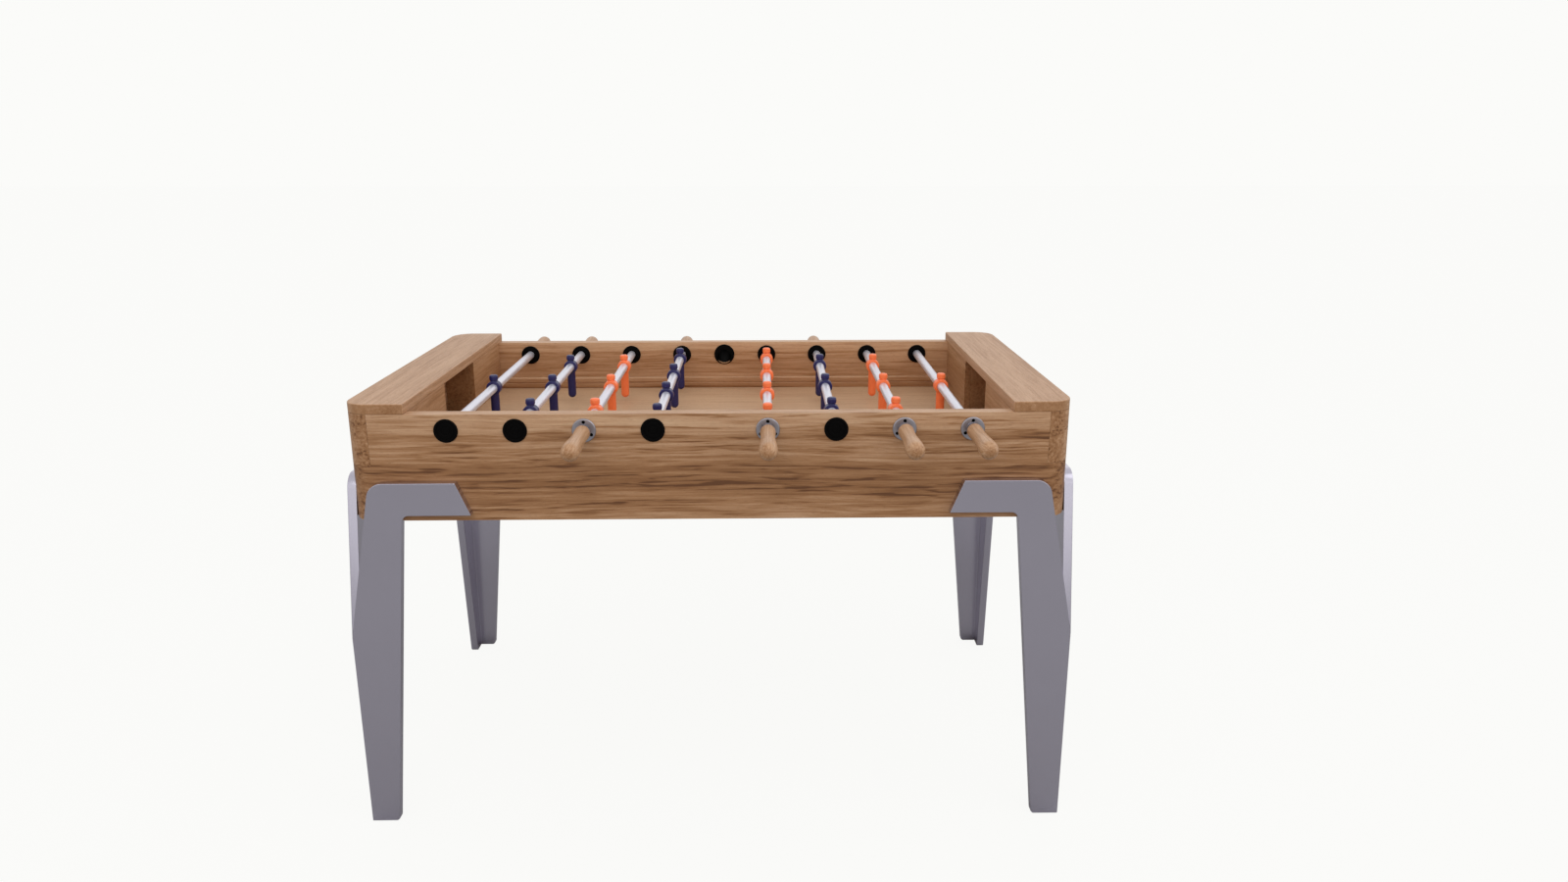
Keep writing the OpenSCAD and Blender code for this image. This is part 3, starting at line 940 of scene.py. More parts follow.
@dataclass
class WoodenBox:
    """The four walls, the goal walls, the caps and the ledges."""

    corner_r: float = 0.048
    tongue_h: float = 0.106
    barrel_r: float = 0.014
    entry_r: float = 0.023
    bolt_r: float = 0.0043
    bolt_z: float = 0.729
    bolt_inset: tuple[float, float] = (0.135, 0.195)
    return_w: float = 0.15
    return_z: tuple[float, float] = (0.71, 0.76)
    goal_w: float = 0.248
    goal_t: float = 0.015
    cheek_t: float = 0.012
    pitch_t: float = 0.012
    ledge_t: float = 0.008
    ledge_notch: float = 0.002
    edge: float = 0.0009
    cap_edge: float = 0.0022
    ledge_edge: float = 0.0004

    def __post_init__(self) -> None:
        """Reads the box's extents from the frame."""
        front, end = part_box("front_wall"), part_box("left_end_wall")
        self.half_l = -end[0].x
        self.half_w = -front[0].y
        self.inner_w = -front[1].y
        self.inner_l = -end[1].x
        self.low_z, self.top_z = front[0].z, front[1].z
        self.pitch_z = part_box("playfield")[1].z

    def slab(self, name: str, low: float, high: float) -> bpy.types.Object:
        """The whole plan of the box, with its round corners, between two heights."""
        piece = Bench.block(name, (-self.half_l, -self.half_w, low), (self.half_l, self.half_w, high))
        return Bench.round_edges(piece, lambda mid, way: abs(way.z) > 0.9, self.corner_r, 14)

    def long_wall(self, name: str, side: int) -> bpy.types.Object:
        """A long wall, bored for the rods and notched for the end walls' tongues.

        Args:
            name: The name of the piece.
            side: -1 for the front and +1 for the rear.

        Returns:
            The wall.
        """
        wall = self.slab(name, self.low_z, self.top_z)
        Bench.slice(wall, (0, side * self.inner_w, 0), Axis.Y, -side)
        reach, shoulder = self.half_l + PAST, self.top_z - self.tongue_h
        notches = [
            Bench.block(
                "notch", (s * self.inner_l, -self.half_w - PAST, shoulder),
                (s * reach, self.half_w + PAST, self.top_z + PAST),
            )
            for s in (-1, 1)
        ]
        Bench.combine(wall, Join.CUT, *notches)
        spots = [(axis.x, axis.z, self.barrel_r) for axis in map(rod_axis, RODS)]
        if side > 0:
            spots.append((0.0, spots[0][1], self.entry_r))
        bolts = [s * (self.half_l - inset) for s in (-1, 1) for inset in self.bolt_inset]
        spots += [(x, self.bolt_z, self.bolt_r) for x in bolts]
        near, far = side * (self.inner_w - PAST), side * (self.half_w + PAST)
        bores = [Bench.bar("bore", Vector((x, near, z)), Vector((x, far, z)), r) for x, z, r in spots]
        Bench.combine(wall, Join.CUT, *bores)
        return Bench.soften(Bench.settle(wall), self.edge)

    def end_wall(self, name: str, side: int) -> bpy.types.Object:
        """An end wall, with a ball return slot and tongues through both long walls.

        Args:
            name: The name of the piece.
            side: -1 for the left and +1 for the right.

        Returns:
            The wall.
        """
        wall = self.slab(name, self.low_z, self.top_z)
        Bench.slice(wall, (side * self.inner_l, 0, 0), Axis.X, -side)
        reach = self.half_l + PAST
        shoulder = self.top_z - self.tongue_h
        waste = [
            Bench.block(
                "waste", (-reach, s * self.inner_w, self.low_z - PAST),
                (reach, s * (self.half_w + PAST), shoulder),
            )
            for s in (-1, 1)
        ]
        Bench.combine(wall, Join.CUT, *waste)
        low, high = self.return_z
        slot = Bench.block("slot", (-reach, -self.return_w / 2, low), (reach, self.return_w / 2, high))
        Bench.round_edges(slot, lambda mid, way: abs(way.x) > 0.9, (high - low) * ALMOST_HALF, 12)
        Bench.combine(wall, Join.CUT, slot)
        near, far = side * (self.inner_l - PAST), side * reach
        spots = [s * (self.half_w - i) for s in (-1, 1) for i in self.bolt_inset]
        bores = [
            Bench.bar("bore", Vector((near, y, self.bolt_z)), Vector((far, y, self.bolt_z)), self.bolt_r)
            for y in spots
        ]
        Bench.combine(wall, Join.CUT, *bores)
        return Bench.soften(Bench.settle(wall), self.edge)

    def goal_wall(self, name: str, side: int, node: str) -> bpy.types.Object:
        """A goal wall with its mouth open up to the cap and a cheek behind each post.

        Args:
            name: The name of the piece.
            side: -1 for the left and +1 for the right.
            node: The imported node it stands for.

        Returns:
            The wall.
        """
        low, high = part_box(node)
        half = self.goal_w / 2
        face = high.x if side < 0 else low.x
        yz = [
            (low.y, low.z), (high.y, low.z), (high.y, high.z), (half, high.z),
            (half, self.pitch_z), (-half, self.pitch_z), (-half, high.z), (low.y, high.z),
        ]
        points = [Vector((face, y, z)) for y, z in yz]
        wall = Bench.soften(Bench.board(name, points, Axis.X.value * side * self.goal_t), self.edge)
        near, far, foot = face + side * self.goal_t, side * self.inner_l, self.pitch_z - self.pitch_t
        for hand in (-1, 1):
            inner, outer = hand * half, hand * (half + self.cheek_t)
            cheek = Bench.block("cheek", (near, inner, foot), (far, outer, high.z))
            Bench.join(wall, Bench.soften(cheek, self.edge))
        return wall

    def cap(self, name: str, side: int, node: str) -> bpy.types.Object:
        """A cap that closes one end of the box.

        Args:
            name: The name of the piece.
            side: -1 for the left and +1 for the right.
            node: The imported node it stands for.

        Returns:
            The cap.
        """
        low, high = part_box(node)
        inner = high.x if side < 0 else low.x
        cap = self.slab(name, low.z, high.z)
        Bench.slice(cap, (inner, 0, 0), Axis.X, -side)
        return Bench.soften(cap, self.cap_edge, 3)

    def ledge(self, name: str, side: int) -> bpy.types.Object:
        """A ledge along a long wall, with a groove along its middle and a bevelled top.

        Args:
            name: The name of the piece.
            side: -1 for the front and +1 for the rear.

        Returns:
            The ledge.
        """
        low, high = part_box("side_ledges")
        rise, thick, notch = high.z - low.z, self.ledge_t, self.ledge_notch
        profile = [
            (0, 0), (thick, 0), (thick, rise / 2 - notch), (thick - notch, rise / 2),
            (thick, rise / 2 + notch), (thick, rise - notch), (thick - notch, rise), (0, rise),
        ]
        points = [Vector((low.x, side * (self.inner_w - depth), low.z + up)) for depth, up in profile]
        ledge = Bench.board(name, points, Vector((high.x - low.x, 0, 0)))
        return Bench.soften(ledge, self.ledge_edge)

    def build(self, finishes: Finishes) -> None:
        """Builds and dresses the box.

        Args:
            finishes: The finishes.
        """
        wood = finishes.wood
        for name, side in (("front", -1), ("rear", 1)):
            wall = dress(self.long_wall(f"{name}_board", side), wood[name])
            hand_over(wall, TABLE, "box_wood", f"{name}_wall")
        for name, side in (("left", -1), ("right", 1)):
            wall = dress(self.end_wall(f"{name}_end_board", side), wood[f"{name}_end"])
            hand_over(wall, TABLE, "box_wood", f"{name}_end_wall")
            goal = dress(self.goal_wall(f"{name}_goal_board", side, f"{name}_goal_wall"), wood["goal"])
            hand_over(goal, TABLE, "box_wood", f"{name}_goal_wall")
            cap = dress(self.cap(f"{name}_cap_board", side, f"{name}_cap"), wood["cap"])
            hand_over(cap, TABLE, "cap_wood", f"{name}_cap")
        ledges = Bench.join(self.ledge("ledges", -1), self.ledge("rear_ledge", 1))
        hand_over(dress(ledges, wood["ledge"]), TABLE, "dark_wood", "side_ledges")
        dress_node("playfield", wood["pitch"])
        for node in ("base_panel", "cleats"):
            dress_node(node, wood["inside"])
        dress_node("ball_trays", finishes.nylon)
        for node in ("leg_bolts", "panel_screws"):
            dress_node(node, finishes.plate)


# ---------- the legs ----------


@dataclass
class Legs:
    """Four legs, each of two plates that meet at the corner below the knee."""

    plate_t: float = 0.019
    foot_w: float = 0.035
    foot_cut: float = 0.005
    root_w: float = 0.107
    arm_low: float = 0.695
    arm_top: float = 0.763
    arm_l: float = 0.245
    arm_lean: float = 0.028
    shoulder_w: float = 0.045
    knee_z: float = 0.43
    shoulder_r: float = 0.032
    fillet_r: float = 0.014
    edge: float = 0.0016

    def plate(self, name: str, corner: Vector, inwards: Axis, outwards: Axis) -> bpy.types.Object:
        """One plate at the front left corner.

        Args:
            name: The name of the piece.
            corner: The body's corner on the floor.
            inwards: The direction in which the plate's width is measured.
            outwards: The direction of its thickness, away from the body when negative.

        Returns:
            The plate.
        """
        outline = [
            (-self.plate_t, 0), (self.foot_w, 0), (self.foot_w + self.foot_cut, self.foot_cut),
            (self.root_w, self.arm_low), (self.arm_l, self.arm_low),
            (self.arm_l - self.arm_lean, self.arm_top), (self.shoulder_w, self.arm_top),
            (-self.plate_t, self.knee_z),
        ]
        points = [corner + inwards.value * u + Axis.Z.value * z for u, z in outline]
        plate = Bench.board(name, points, outwards.value * -self.plate_t)
        lean = math.atan((self.shoulder_w + self.plate_t) / (self.arm_top - self.knee_z))
        tilt = math.atan((self.root_w - self.foot_w - self.foot_cut) / (self.arm_low - self.foot_cut))
        for (width, height), radius, turn in (
            ((self.shoulder_w, self.arm_top), self.shoulder_r, lean),
            ((self.root_w, self.arm_low), self.fillet_r, tilt),
        ):
            spot = corner + inwards.value * width + Axis.Z.value * height

            def at_spot(middle: Vector, way: Vector, spot: Vector = spot) -> bool:
                """Whether an edge runs through the plate at the spot.

                Args:
                    middle: The middle of the edge.
                    way: Its direction.
                    spot: The spot.

                Returns:
                    True if it does.
                """
                away = middle - spot
                away -= outwards.value * away.dot(outwards.value)
                return away.length < 100 * WELD and abs(way.dot(outwards.value)) > 0.9

            setback = radius * math.tan((QUARTER - turn) / 2)
            Bench.round_edges(plate, at_spot, setback, 12)
        return plate

    def build(self, finishes: Finishes) -> None:
        """Builds the front left leg and mirrors it to the other corners.

        Args:
            finishes: The finishes.
        """
        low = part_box("leg_front_left")[0]
        corner = Vector((low.x + self.plate_t, low.y + self.plate_t, 0))
        first = self.plate("leg", corner, Axis.X, Axis.Y)
        second = self.plate("leg_side", corner, Axis.Y, Axis.X)
        model = Bench.settle(Bench.combine(first, Join.WELD, second))
        for row, down in (("front", 1), ("rear", -1)):
            for end, along in (("left", 1), ("right", -1)):
                leg = Bench.twin(model, f"{row}_{end}_leg", flip=(along, down, 1))
                dress(Bench.soften(leg, self.edge), finishes.coat)
                hand_over(leg, TABLE, "leg_paint", f"leg_{row}_{end}")
        Bench.scrap(model)


# ---------- bearings, end cups and the ball entry ----------


@dataclass
class Bearings:
    """What each rod passes through: a bearing and a plate on one wall, an end cup on the other."""

    barrel_r: float = 0.01395
    flange_r: float = 0.024
    flange_t: float = 0.0035
    bore_r: float = 0.0101
    plate_t: float = 0.004
    plate_bore_r: float = 0.0113
    screw_ring_r: float = 0.017
    screw_r: float = 0.0035
    screw_gap: float = 0.0001
    screw_t: float = 0.002
    socket_r: float = 0.0017
    socket_t: float = 0.0013
    cup_bore_r: float = 0.0103
    cup_bottom: float = 0.405
    entry_r: float = 0.027
    entry_barrel_r: float = 0.02295
    entry_bore_r: float = 0.019
    entry_slope: float = math.radians(20)
    chute_reach: float = 0.465
    chute_rim: float = 0.888
    chute_t: float = 0.003

    def __post_init__(self) -> None:
        """Reads from the frame how far the long walls' faces lie from the middle."""
        low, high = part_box("front_wall")
        self.half_w, self.inner_w = -low.y, -high.y

    def sleeve(self) -> bpy.types.Object:
        """A bearing with its flange inside the front wall, at the middle of the table.

        Returns:
            The bearing.
        """
        face, t, bore = -self.inner_w, self.flange_t, self.bore_r
        profile = [
            (bore, -self.half_w), (self.barrel_r, -self.half_w), (self.barrel_r, face),
            (self.flange_r, face), (self.flange_r, face + t * 0.7), (self.flange_r - 0.0016, face + t * 0.9),
            (bore + 0.0055, face + t * 0.9), (bore + 0.005, face + t), (bore, face + t), (bore, -self.half_w),
        ]
        return self._turn("sleeve", profile, 0.0003)

    def plate(self) -> bpy.types.Object:
        """A metal plate outside the front wall, bored for three sunk screws.

        Returns:
            The plate.
        """
        face, t, bore = -self.half_w, self.plate_t, self.plate_bore_r
        profile = [
            (bore, face), (self.flange_r, face), (self.flange_r, face - t * 0.6),
            (self.flange_r - 0.0014, face - t), (bore + 0.0006, face - t), (bore, face - t * 0.85),
            (bore, face),
        ]
        plate = self._turn("plate", profile, 0.0003)
        holes = [
            self._hole(spot, face - t - PAST, face - self.screw_t, self.screw_r, 24)
            for spot in self._screw_spots()
        ]
        return Bench.soften(Bench.settle(Bench.combine(plate, Join.CUT, *holes)), 0.00025, 2)

    def _screw_spots(self) -> list[Vector]:
        """The middles of the three screws, in a ring round the rod."""
        angles = map(math.radians, (90, 210, 330))
        return [Vector((math.cos(a), 0, math.sin(a))) * self.screw_ring_r for a in angles]

    @staticmethod
    def _hole(spot: Vector, start: float, end: float, radius: float, sides: int) -> bpy.types.Object:
        """A bar along the rod's direction to make a hole with."""
        return Bench.bar("hole", spot + Vector((0, start, 0)), spot + Vector((0, end, 0)), radius, sides)

    def screws(self) -> bpy.types.Object:
        """Three screws with hexagon sockets.

        Returns:
            The screws, in one piece.
        """
        face = -self.half_w - self.plate_t
        screws, radius, back = [], self.screw_r - self.screw_gap, face + self.screw_t
        for spot in self._screw_spots():
            profile = [
                (0, back), (radius, back), (radius, face + 0.0004), (radius - 0.0005, face + 0.0001),
                (0, face + 0.0001),
            ]
            head = Bench.turned("screw", profile, Axis.Y, spot, 24)
            socket = self._hole(spot, face - PAST, face + self.socket_t, self.socket_r, 6)
            screws.append(Bench.soften(Bench.settle(Bench.combine(head, Join.CUT, socket)), 0.00012, 1))
        return Bench.join(*screws)

    def cup(self) -> bpy.types.Object:
        """An end cup, closed outside, with rings on its face and a flange inside the rear wall.

        Returns:
            The cup.
        """
        inner, out, t, rim = self.inner_w, self.half_w, self.flange_t, self.flange_r
        end = out + t
        rings = [
            (0.0185, 0.0), (0.018, 0.0008), (0.0165, 0.0008), (0.016, 0.0002), (0.0095, 0.0002),
            (0.009, 0.0009), (0.008, 0.0009), (0.0075, 0.0003), (0, 0.0003),
        ]
        profile = [
            (0, self.cup_bottom), (self.cup_bore_r, self.cup_bottom), (self.cup_bore_r, inner - t),
            (rim - 0.0012, inner - t), (rim, inner - t * 0.6), (rim, inner), (self.barrel_r, inner),
            (self.barrel_r, out), (rim, out), (rim, out + t * 0.6), (rim - 0.0014, end),
            *((radius, end - depth) for radius, depth in rings),
        ]
        return self._turn("cup", profile, 0.0002)

    def entry(self) -> bpy.types.Object:
        """The ball entry, whose bore slopes down to the pitch.

        Returns:
            The ball entry.
        """
        rod_z = rod_axis(1).z
        inner, outer, t, rim = self.inner_w, self.half_w, self.flange_t, self.entry_r
        profile = [
            (0, inner - t), (rim - 0.0012, inner - t), (rim, inner - t * 0.6), (rim, inner),
            (self.entry_barrel_r, inner), (self.entry_barrel_r, outer), (rim, outer),
            (rim, outer + t * 0.6), (rim - 0.0012, outer + t), (0, outer + t),
        ]
        piece = Bench.turned("ball_mouth", profile, Axis.Y, Vector((0, 0, rod_z)), 64)
        way = Vector((0, math.cos(self.entry_slope), math.sin(self.entry_slope))) * 0.1
        heart = Vector((0, (inner + outer) / 2, rod_z))
        chute = Bench.bar("chute", heart, heart + way, self.entry_bore_r + self.chute_t, 64)
        Bench.slice(chute, (0, outer, 0), Axis.Y, -1)
        Bench.slice(chute, (0, self.chute_reach, 0), Axis.Y, 1)
        Bench.slice(chute, (0, 0, self.chute_rim), Axis.Z, 1)
        Bench.combine(piece, Join.WELD, chute)
        bore = Bench.bar("bore", heart - way, heart + way, self.entry_bore_r, 64)
        return Bench.soften(Bench.settle(Bench.combine(piece, Join.CUT, bore)), 0.0004, 2)

    def _turn(self, name: str, profile: Sequence[tuple[float, float]], edge: float) -> bpy.types.Object:
        """Turns a part of a bearing and breaks its edges."""
        return Bench.soften(Bench.turned(name, profile, Axis.Y, Vector(), 64), edge, 2, clamp=True)

    def build(self, finishes: Finishes) -> None:
        """Builds one set and copies it to every rod.

        Args:
            finishes: The finishes.
        """
        sets = (
            ("bearing_sleeves", self.sleeve(), finishes.nylon, "black_nylon", "bearings"),
            ("bearing_rings", self.plate(), finishes.plate, "plate_metal", "bearing_plates"),
            ("ring_screws", self.screws(), finishes.nylon, "black_nylon", "plate_screws"),
            ("rod_end_cups", self.cup(), finishes.nylon, "black_nylon", "end_cups"),
        )
        for name, model, finish, slot, node in sets:
            copies = [Bench.twin(model, name, rod_axis(n), math.pi * at_rear(n)) for n in RODS]
            piece = Bench.join(*copies)
            piece.name = piece.data.name = name
            hand_over(dress(piece, finish), TABLE, slot, node)
            Bench.scrap(model)
        hand_over(dress(self.entry(), finishes.nylon), TABLE, "black_nylon", "ball_entry")


# ---------- the rods ----------


@dataclass
class Player:
    """A moulded player: a hub round the rod, a round head and a leg with a round foot."""

    hub_r: float = 0.0165
    hub_l: float = 0.022
    bore_r: float = 0.01005
    head_r: float = 0.01
    head_top: float = 0.03
    neck_r: float = 0.0084
    neck_z: float = 0.0177
    leg_r: float = 0.01
    reach: float = 0.0805
    grub_r: float = 0.00255
    rim: float = 0.0018
    chin: float = 0.0018
    crown: float = 0.0042

    def build(self) -> bpy.types.Object:
        """Models one player at the origin, with the rod along Y.

        Returns:
            The player.
        """
        half, rim, r = self.hub_l / 2, self.rim, self.hub_r
        rise = [
            (0, half), (r - rim, half), (r - rim * 0.35, half - rim * 0.3), (r, half - rim),
        ]
        outline = [(radius, -y) for radius, y in rise] + rise[::-1]
        hub = Bench.turned("player", outline, Axis.Y, Vector(), 56)
        turns = [QUARTER * k / 5 for k in range(6)]
        jaw = [
            (self.head_r - self.chin * (1 - math.sin(a)), self.neck_z + self.chin * (1 - math.cos(a)))
            for a in turns
        ]
        top = [
            (self.head_r - self.crown * (1 - math.cos(a)), self.head_top - self.crown * (1 - math.sin(a)))
            for a in turns
        ]
        outline = [(0, 0), (self.neck_r, 0), (self.neck_r, self.neck_z), *jaw, *top, (0, self.head_top)]
        head = Bench.turned("head", outline, Axis.Z, Vector(), 40)
        start = self.reach - self.leg_r
        bends = [QUARTER * k / 8 for k in range(8)]
        toe = [(self.leg_r * math.cos(a), -start - self.leg_r * math.sin(a)) for a in bends]
        leg = Bench.turned("leg", [(0, 0), (self.leg_r, 0), *toe, (0, -self.reach)], Axis.Z, Vector(), 48)
        Bench.combine(hub, Join.WELD, head)
        Bench.combine(hub, Join.WELD, leg)
        bore = Bench.bar("bore", Vector((0, -self.hub_l, 0)), Vector((0, self.hub_l, 0)), self.bore_r, 56)
        Bench.combine(hub, Join.CUT, bore)
        grub = Bench.bar("bore", Vector((0, 0, 0)), Vector((2 * self.hub_r, 0, 0)), self.grub_r, 20)
        Bench.combine(hub, Join.CUT, grub)
        return Bench.soften(Bench.settle(hub), 0.0005, 2, sharp=34, clamp=False)


@dataclass
class Rod:
    """A telescopic rod: its tube with grub screws, its players and its handle."""

    number: int
    players: int
    hub_l: float = 0.022
    hub_r: float = 0.0165
    tube_r: float = 0.01
    bore_r: float = 0.0076
    mouth_r: float = 0.0063
    mouth_l: float = 0.014
    mouth_rim: float = 0.0008
    grub_r: float = 0.0025
    grub_rim: float = 0.0004
    socket_r: float = 0.0013
    socket_l: float = 0.002

    def __post_init__(self) -> None:
        """Reads the rod's place from the frame."""
        low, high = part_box(f"tube_{self.number}")
        grip_low, grip_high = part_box(f"handle_{self.number}")
        self.centre = rod_axis(self.number)
        self.rear = at_rear(self.number)
        self.turn = math.pi * self.rear
        self.start = -high.y if self.rear else low.y
        self.end = -low.y if self.rear else high.y
        self.grip = -grip_low.y if self.rear else grip_high.y

    def spots(self) -> list[float]:
        """Where the players stand along the rod.

        Returns:
            Their distances, counted with the handle at the negative end.
        """
        low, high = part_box(f"players_{self.number}")
        first, last = low.y + self.hub_l / 2, high.y - self.hub_l / 2
        if self.rear:
            first, last = -last, -first
        if self.players == 1:
            return [(first + last) / 2]
        return [first + (last - first) * k / (self.players - 1) for k in range(self.players)]

    def tube(self) -> bpy.types.Object:
        """The tube, with its narrowed mouth and the players' grub screws.

        Returns:
            The tube, with the handle at the negative end.
        """
        start, end, bore, mouth, rim = self.start, self.end, self.bore_r, self.mouth_r, self.mouth_rim
        profile = [
            (bore, start), (self.tube_r, start), (self.tube_r, end - rim), (self.tube_r - rim, end),
            (mouth + rim / 2, end), (mouth, end - rim / 2), (mouth, end - self.mouth_l),
            (bore, end - self.mouth_l), (bore, start),
        ]
        tube = Bench.turned("tube", profile, Axis.Y, Vector(), 56)
        Bench.take(tube)
        bpy.ops.object.shade_smooth_by_angle(angle=math.radians(30))
        screws = [self._grub(y) for y in self.spots()]
        return Bench.join(tube, *screws)

    def _grub(self, along: float) -> bpy.types.Object:
        """A grub screw with a hexagon socket, sunk in a player's hub.

        Args:
            along: Where the player stands.

        Returns:
            The screw.
        """
        inner, outer, rim = self.tube_r - 0.0009, self.hub_r - 0.0005, self.grub_rim
        profile = [
            (0, inner), (self.grub_r, inner), (self.grub_r, outer - rim), (self.grub_r - rim, outer),
            (0, outer),
        ]
        spot = Vector((0, along, 0))
        screw = Bench.turned("grub", profile, Axis.X, spot, 20)
        deep, out = (spot + Vector((x, 0, 0)) for x in (outer - self.socket_l, outer + PAST))
        socket = Bench.bar("socket", deep, out, self.socket_r, 6)
        return Bench.settle(Bench.combine(screw, Join.CUT, socket))

    def build(self, finishes: Finishes, player: bpy.types.Object, handle: bpy.types.Object) -> None:
        """Builds and dresses the rod.

        Args:
            finishes: The finishes.
            player: The player that is copied.
            handle: The handle that is copied.
        """
        n = self.number
        body = f"rod_{n}"
        model = self.tube()
        tube = Bench.twin(model, f"rod_tube_{n}", self.centre, self.turn)
        Bench.scrap(model)
        hand_over(dress(tube, finishes.steel), body, "steel", f"tube_{n}")
        side = -1 if self.rear else 1
        spots = [self.centre + Vector((0, side * y, 0)) for y in self.spots()]
        team = Bench.join(*(Bench.twin(player, "man", spot, self.turn) for spot in spots))
        team.name = team.data.name = f"team_{n}"
        colour, slot = (finishes.navy, "navy_plastic") if self.rear else (finishes.orange, "orange_plastic")
        hand_over(dress(team, colour), body, slot, f"players_{n}")
        grip = Bench.twin(handle, f"grip_{n}", self.centre + Vector((0, side * self.grip, 0)), self.turn)
        hand_over(dress(grip, finishes.wood["handle"]), body, "handle_wood", f"handle_{n}")
        dress_node(f"inner_rod_{n}", finishes.steel)


@dataclass
class Handle:
    """A turned handle with a neck, a slim waist, a bulb and a round nose."""

    length: float = 0.163
    neck_r: float = 0.0155
    neck_round: float = 0.005
    waist_r: float = 0.01425
    bulb_r: float = 0.01775
    socket_r: float = 0.01005
    socket_l: float = 0.106
    socket_rim: float = 0.0005

    def build(self) -> bpy.types.Object:
        """Turns one handle, with its open end at the origin and its nose towards -Y.

        Returns:
            The handle.
        """
        waist_at = 0.3 * self.length
        nose = 0.6 * 2 * self.bulb_r
        bulb_at = self.length - nose
        rim = self.neck_round

        def sweep(start: Sequence[float], end: Sequence[float], steps: int) -> list[tuple[float, float]]:
            """A smooth change of radius along the handle.

            Args:
                start: The radius and the distance where it starts.
                end: The radius and the distance where it ends.
                steps: How many flats it has.

            Returns:
                The profile's points after its start.
            """
            (r, y), (to_r, to_y) = start, end
            shares = [k / steps for k in range(1, steps + 1)]
            return [(r + (to_r - r) * (1 - math.cos(math.pi * k)) / 2, y + (to_y - y) * k) for k in shares]

        turns = [QUARTER * k / 6 for k in range(7)]
        outline = [(self.neck_r - rim * (1 - math.sin(a)), rim * (1 - math.cos(a))) for a in turns]
        outline += sweep((self.neck_r, rim), (self.waist_r, waist_at), 7)
        outline += sweep((self.waist_r, waist_at), (self.bulb_r, bulb_at), 9)
        turns = [QUARTER * k / 9 for k in range(1, 9)]
        outline += [(self.bulb_r * math.cos(a), bulb_at + nose * math.sin(a)) for a in turns]
        outline.append((0.0, self.length))
        socket = [
            (0.0, self.socket_l), (self.socket_r, self.socket_l), (self.socket_r, self.socket_rim),
            (self.socket_r + self.socket_rim, 0.0),
        ]
        profile = [(r, -y) for r, y in socket + outline]
        handle = Bench.turned("handle", profile, Axis.Y, Vector(), 56)
        Bench.take(handle)
        bpy.ops.object.shade_smooth_by_angle(angle=math.radians(40))
        return handle


# ---------- the studio ----------


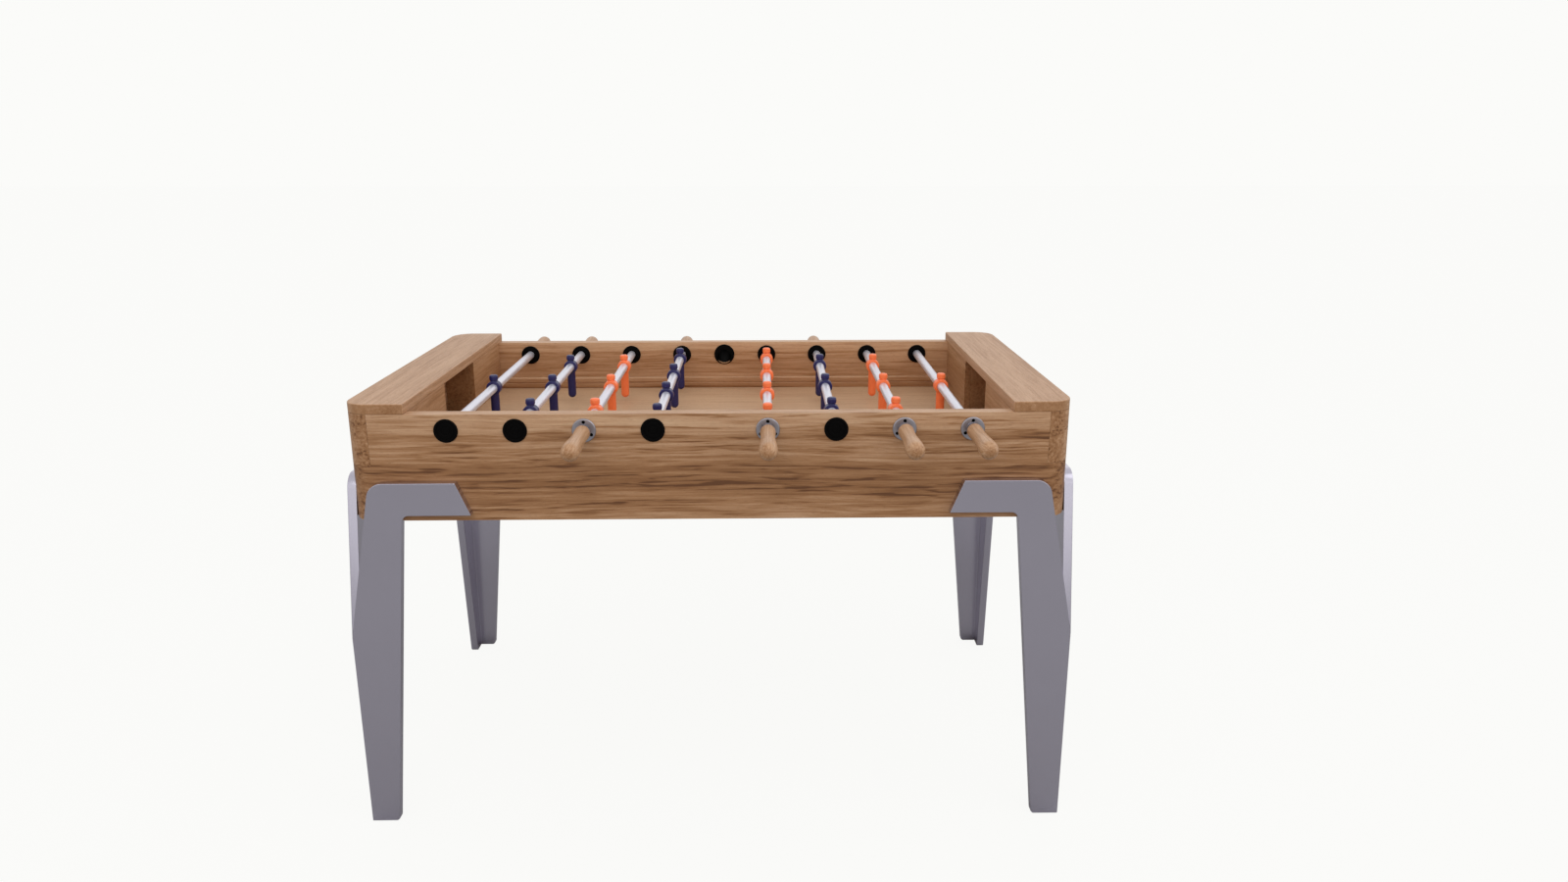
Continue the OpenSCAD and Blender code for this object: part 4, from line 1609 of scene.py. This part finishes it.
@dataclass
class Studio:
    """A plain pale floor, soft light and the camera."""

    floor_size: float = 80.0
    white: Colour = tint(251, 251, 249)
    camera_spot: tuple[float, float, float] = (0.1059, -2.4887, 1.4044)
    camera_dip: float = math.radians(15.21)
    camera_turn: float = math.radians(-1.11)
    lens: float = 24.72
    sensor: float = 36.0

    def floor(self) -> None:
        """A floor that is pale to look at and quieter as a light."""
        bpy.ops.object.select_all(action="DESELECT")
        bpy.ops.mesh.primitive_plane_add(size=self.floor_size)
        floor = bpy.context.object
        floor.name = "floor"
        graph = Graph.new("floor_paint")
        seen = graph.node("ShaderNodeLightPath", {}, {})
        glow = graph.node("ShaderNodeEmission", {}, {"Color": (*self.white, 1), "Strength": 0.95})
        matt = graph.node("ShaderNodeBsdfDiffuse", {}, {"Color": (0.38, 0.38, 0.38, 1)})
        shade = graph.node("ShaderNodeBsdfDiffuse", {}, {"Color": (0.05, 0.05, 0.05, 1)})
        pale = graph.node("ShaderNodeAddShader", {}, {0: glow, 1: shade})
        mixed = graph.node("ShaderNodeMixShader", {}, {0: seen, 1: matt, 2: pale})
        clear = graph.node("ShaderNodeBsdfTransparent", {}, {})
        behind = graph.node("ShaderNodeNewGeometry", {}, {}, output="Backfacing")
        both = graph.node("ShaderNodeMixShader", {}, {0: behind, 1: mixed, 2: clear})
        graph.node("ShaderNodeOutputMaterial", {}, {"Surface": both}, output=None)
        dress(floor, graph.owner)

    def sky(self) -> None:
        """Soft light from all round, stronger towards the horizon and from the right."""
        world = bpy.data.worlds.new("studio_light")
        bpy.context.scene.world = world
        graph = Graph(world)
        way = graph.node("ShaderNodeTexCoord", {}, {})
        x, _, z = graph.split(way)
        level = z * -0.32 + x * 0.14 + 1.06
        seen = graph.node("ShaderNodeLightPath", {}, {})
        dim = graph.node("ShaderNodeBackground", {}, {"Color": (1.0, 0.995, 0.99, 1), "Strength": level})
        white = graph.node("ShaderNodeBackground", {}, {"Color": (*self.white, 1), "Strength": 1.0})
        mixed = graph.node("ShaderNodeMixShader", {}, {0: seen, 1: dim, 2: white})
        graph.node("ShaderNodeOutputWorld", {}, {"Surface": mixed}, output=None)

    def lamp(self, name: str, spot: Vector, size: float, power: float) -> None:
        """A large soft lamp that points at the middle of the table.

        Args:
            name: Its name.
            spot: Where it hangs.
            size: Its width.
            power: Its power in watts.
        """
        turn = (Vector((0, 0, 0.8)) - spot).to_track_quat("-Z", "Y").to_euler()
        bpy.ops.object.select_all(action="DESELECT")
        bpy.ops.object.light_add(type="AREA", location=spot, rotation=turn)
        lamp = bpy.context.object
        lamp.name = name
        lamp.data.shape = "DISK"
        lamp.data.size = size
        lamp.data.energy = power

    def camera(self) -> None:
        """The camera, in front of the table and a little above it."""
        bpy.ops.object.select_all(action="DESELECT")
        turn = (QUARTER - self.camera_dip, 0, self.camera_turn)
        bpy.ops.object.camera_add(location=self.camera_spot, rotation=turn)
        camera = bpy.context.object
        camera.data.lens = self.lens
        camera.data.sensor_width = self.sensor
        bpy.context.scene.camera = camera

    def build(self) -> None:
        """Sets the studio up."""
        bpy.context.scene.view_settings.view_transform = "Standard"
        self.floor()
        self.sky()
        self.lamp("side_lamp", Vector((2.4, -1.6, 3.4)), size=2.4, power=10)
        self.lamp("front_lamp", Vector((-0.5, -3.4, 3.2)), size=2.6, power=26)
        self.camera()


def main() -> None:
    """Builds the table and its studio."""
    logging.basicConfig(level=logging.INFO, format="%(message)s")
    finishes = Finishes()
    WoodenBox().build(finishes)
    Legs().build(finishes)
    Bearings().build(finishes)
    player, handle = Player().build(), Handle().build()
    for number, players in zip(RODS, TEAMS):
        Rod(number, players).build(finishes, player, handle)
    Bench.scrap(player)
    Bench.scrap(handle)
    Studio().build()


if __name__ == "__main__":
    main()
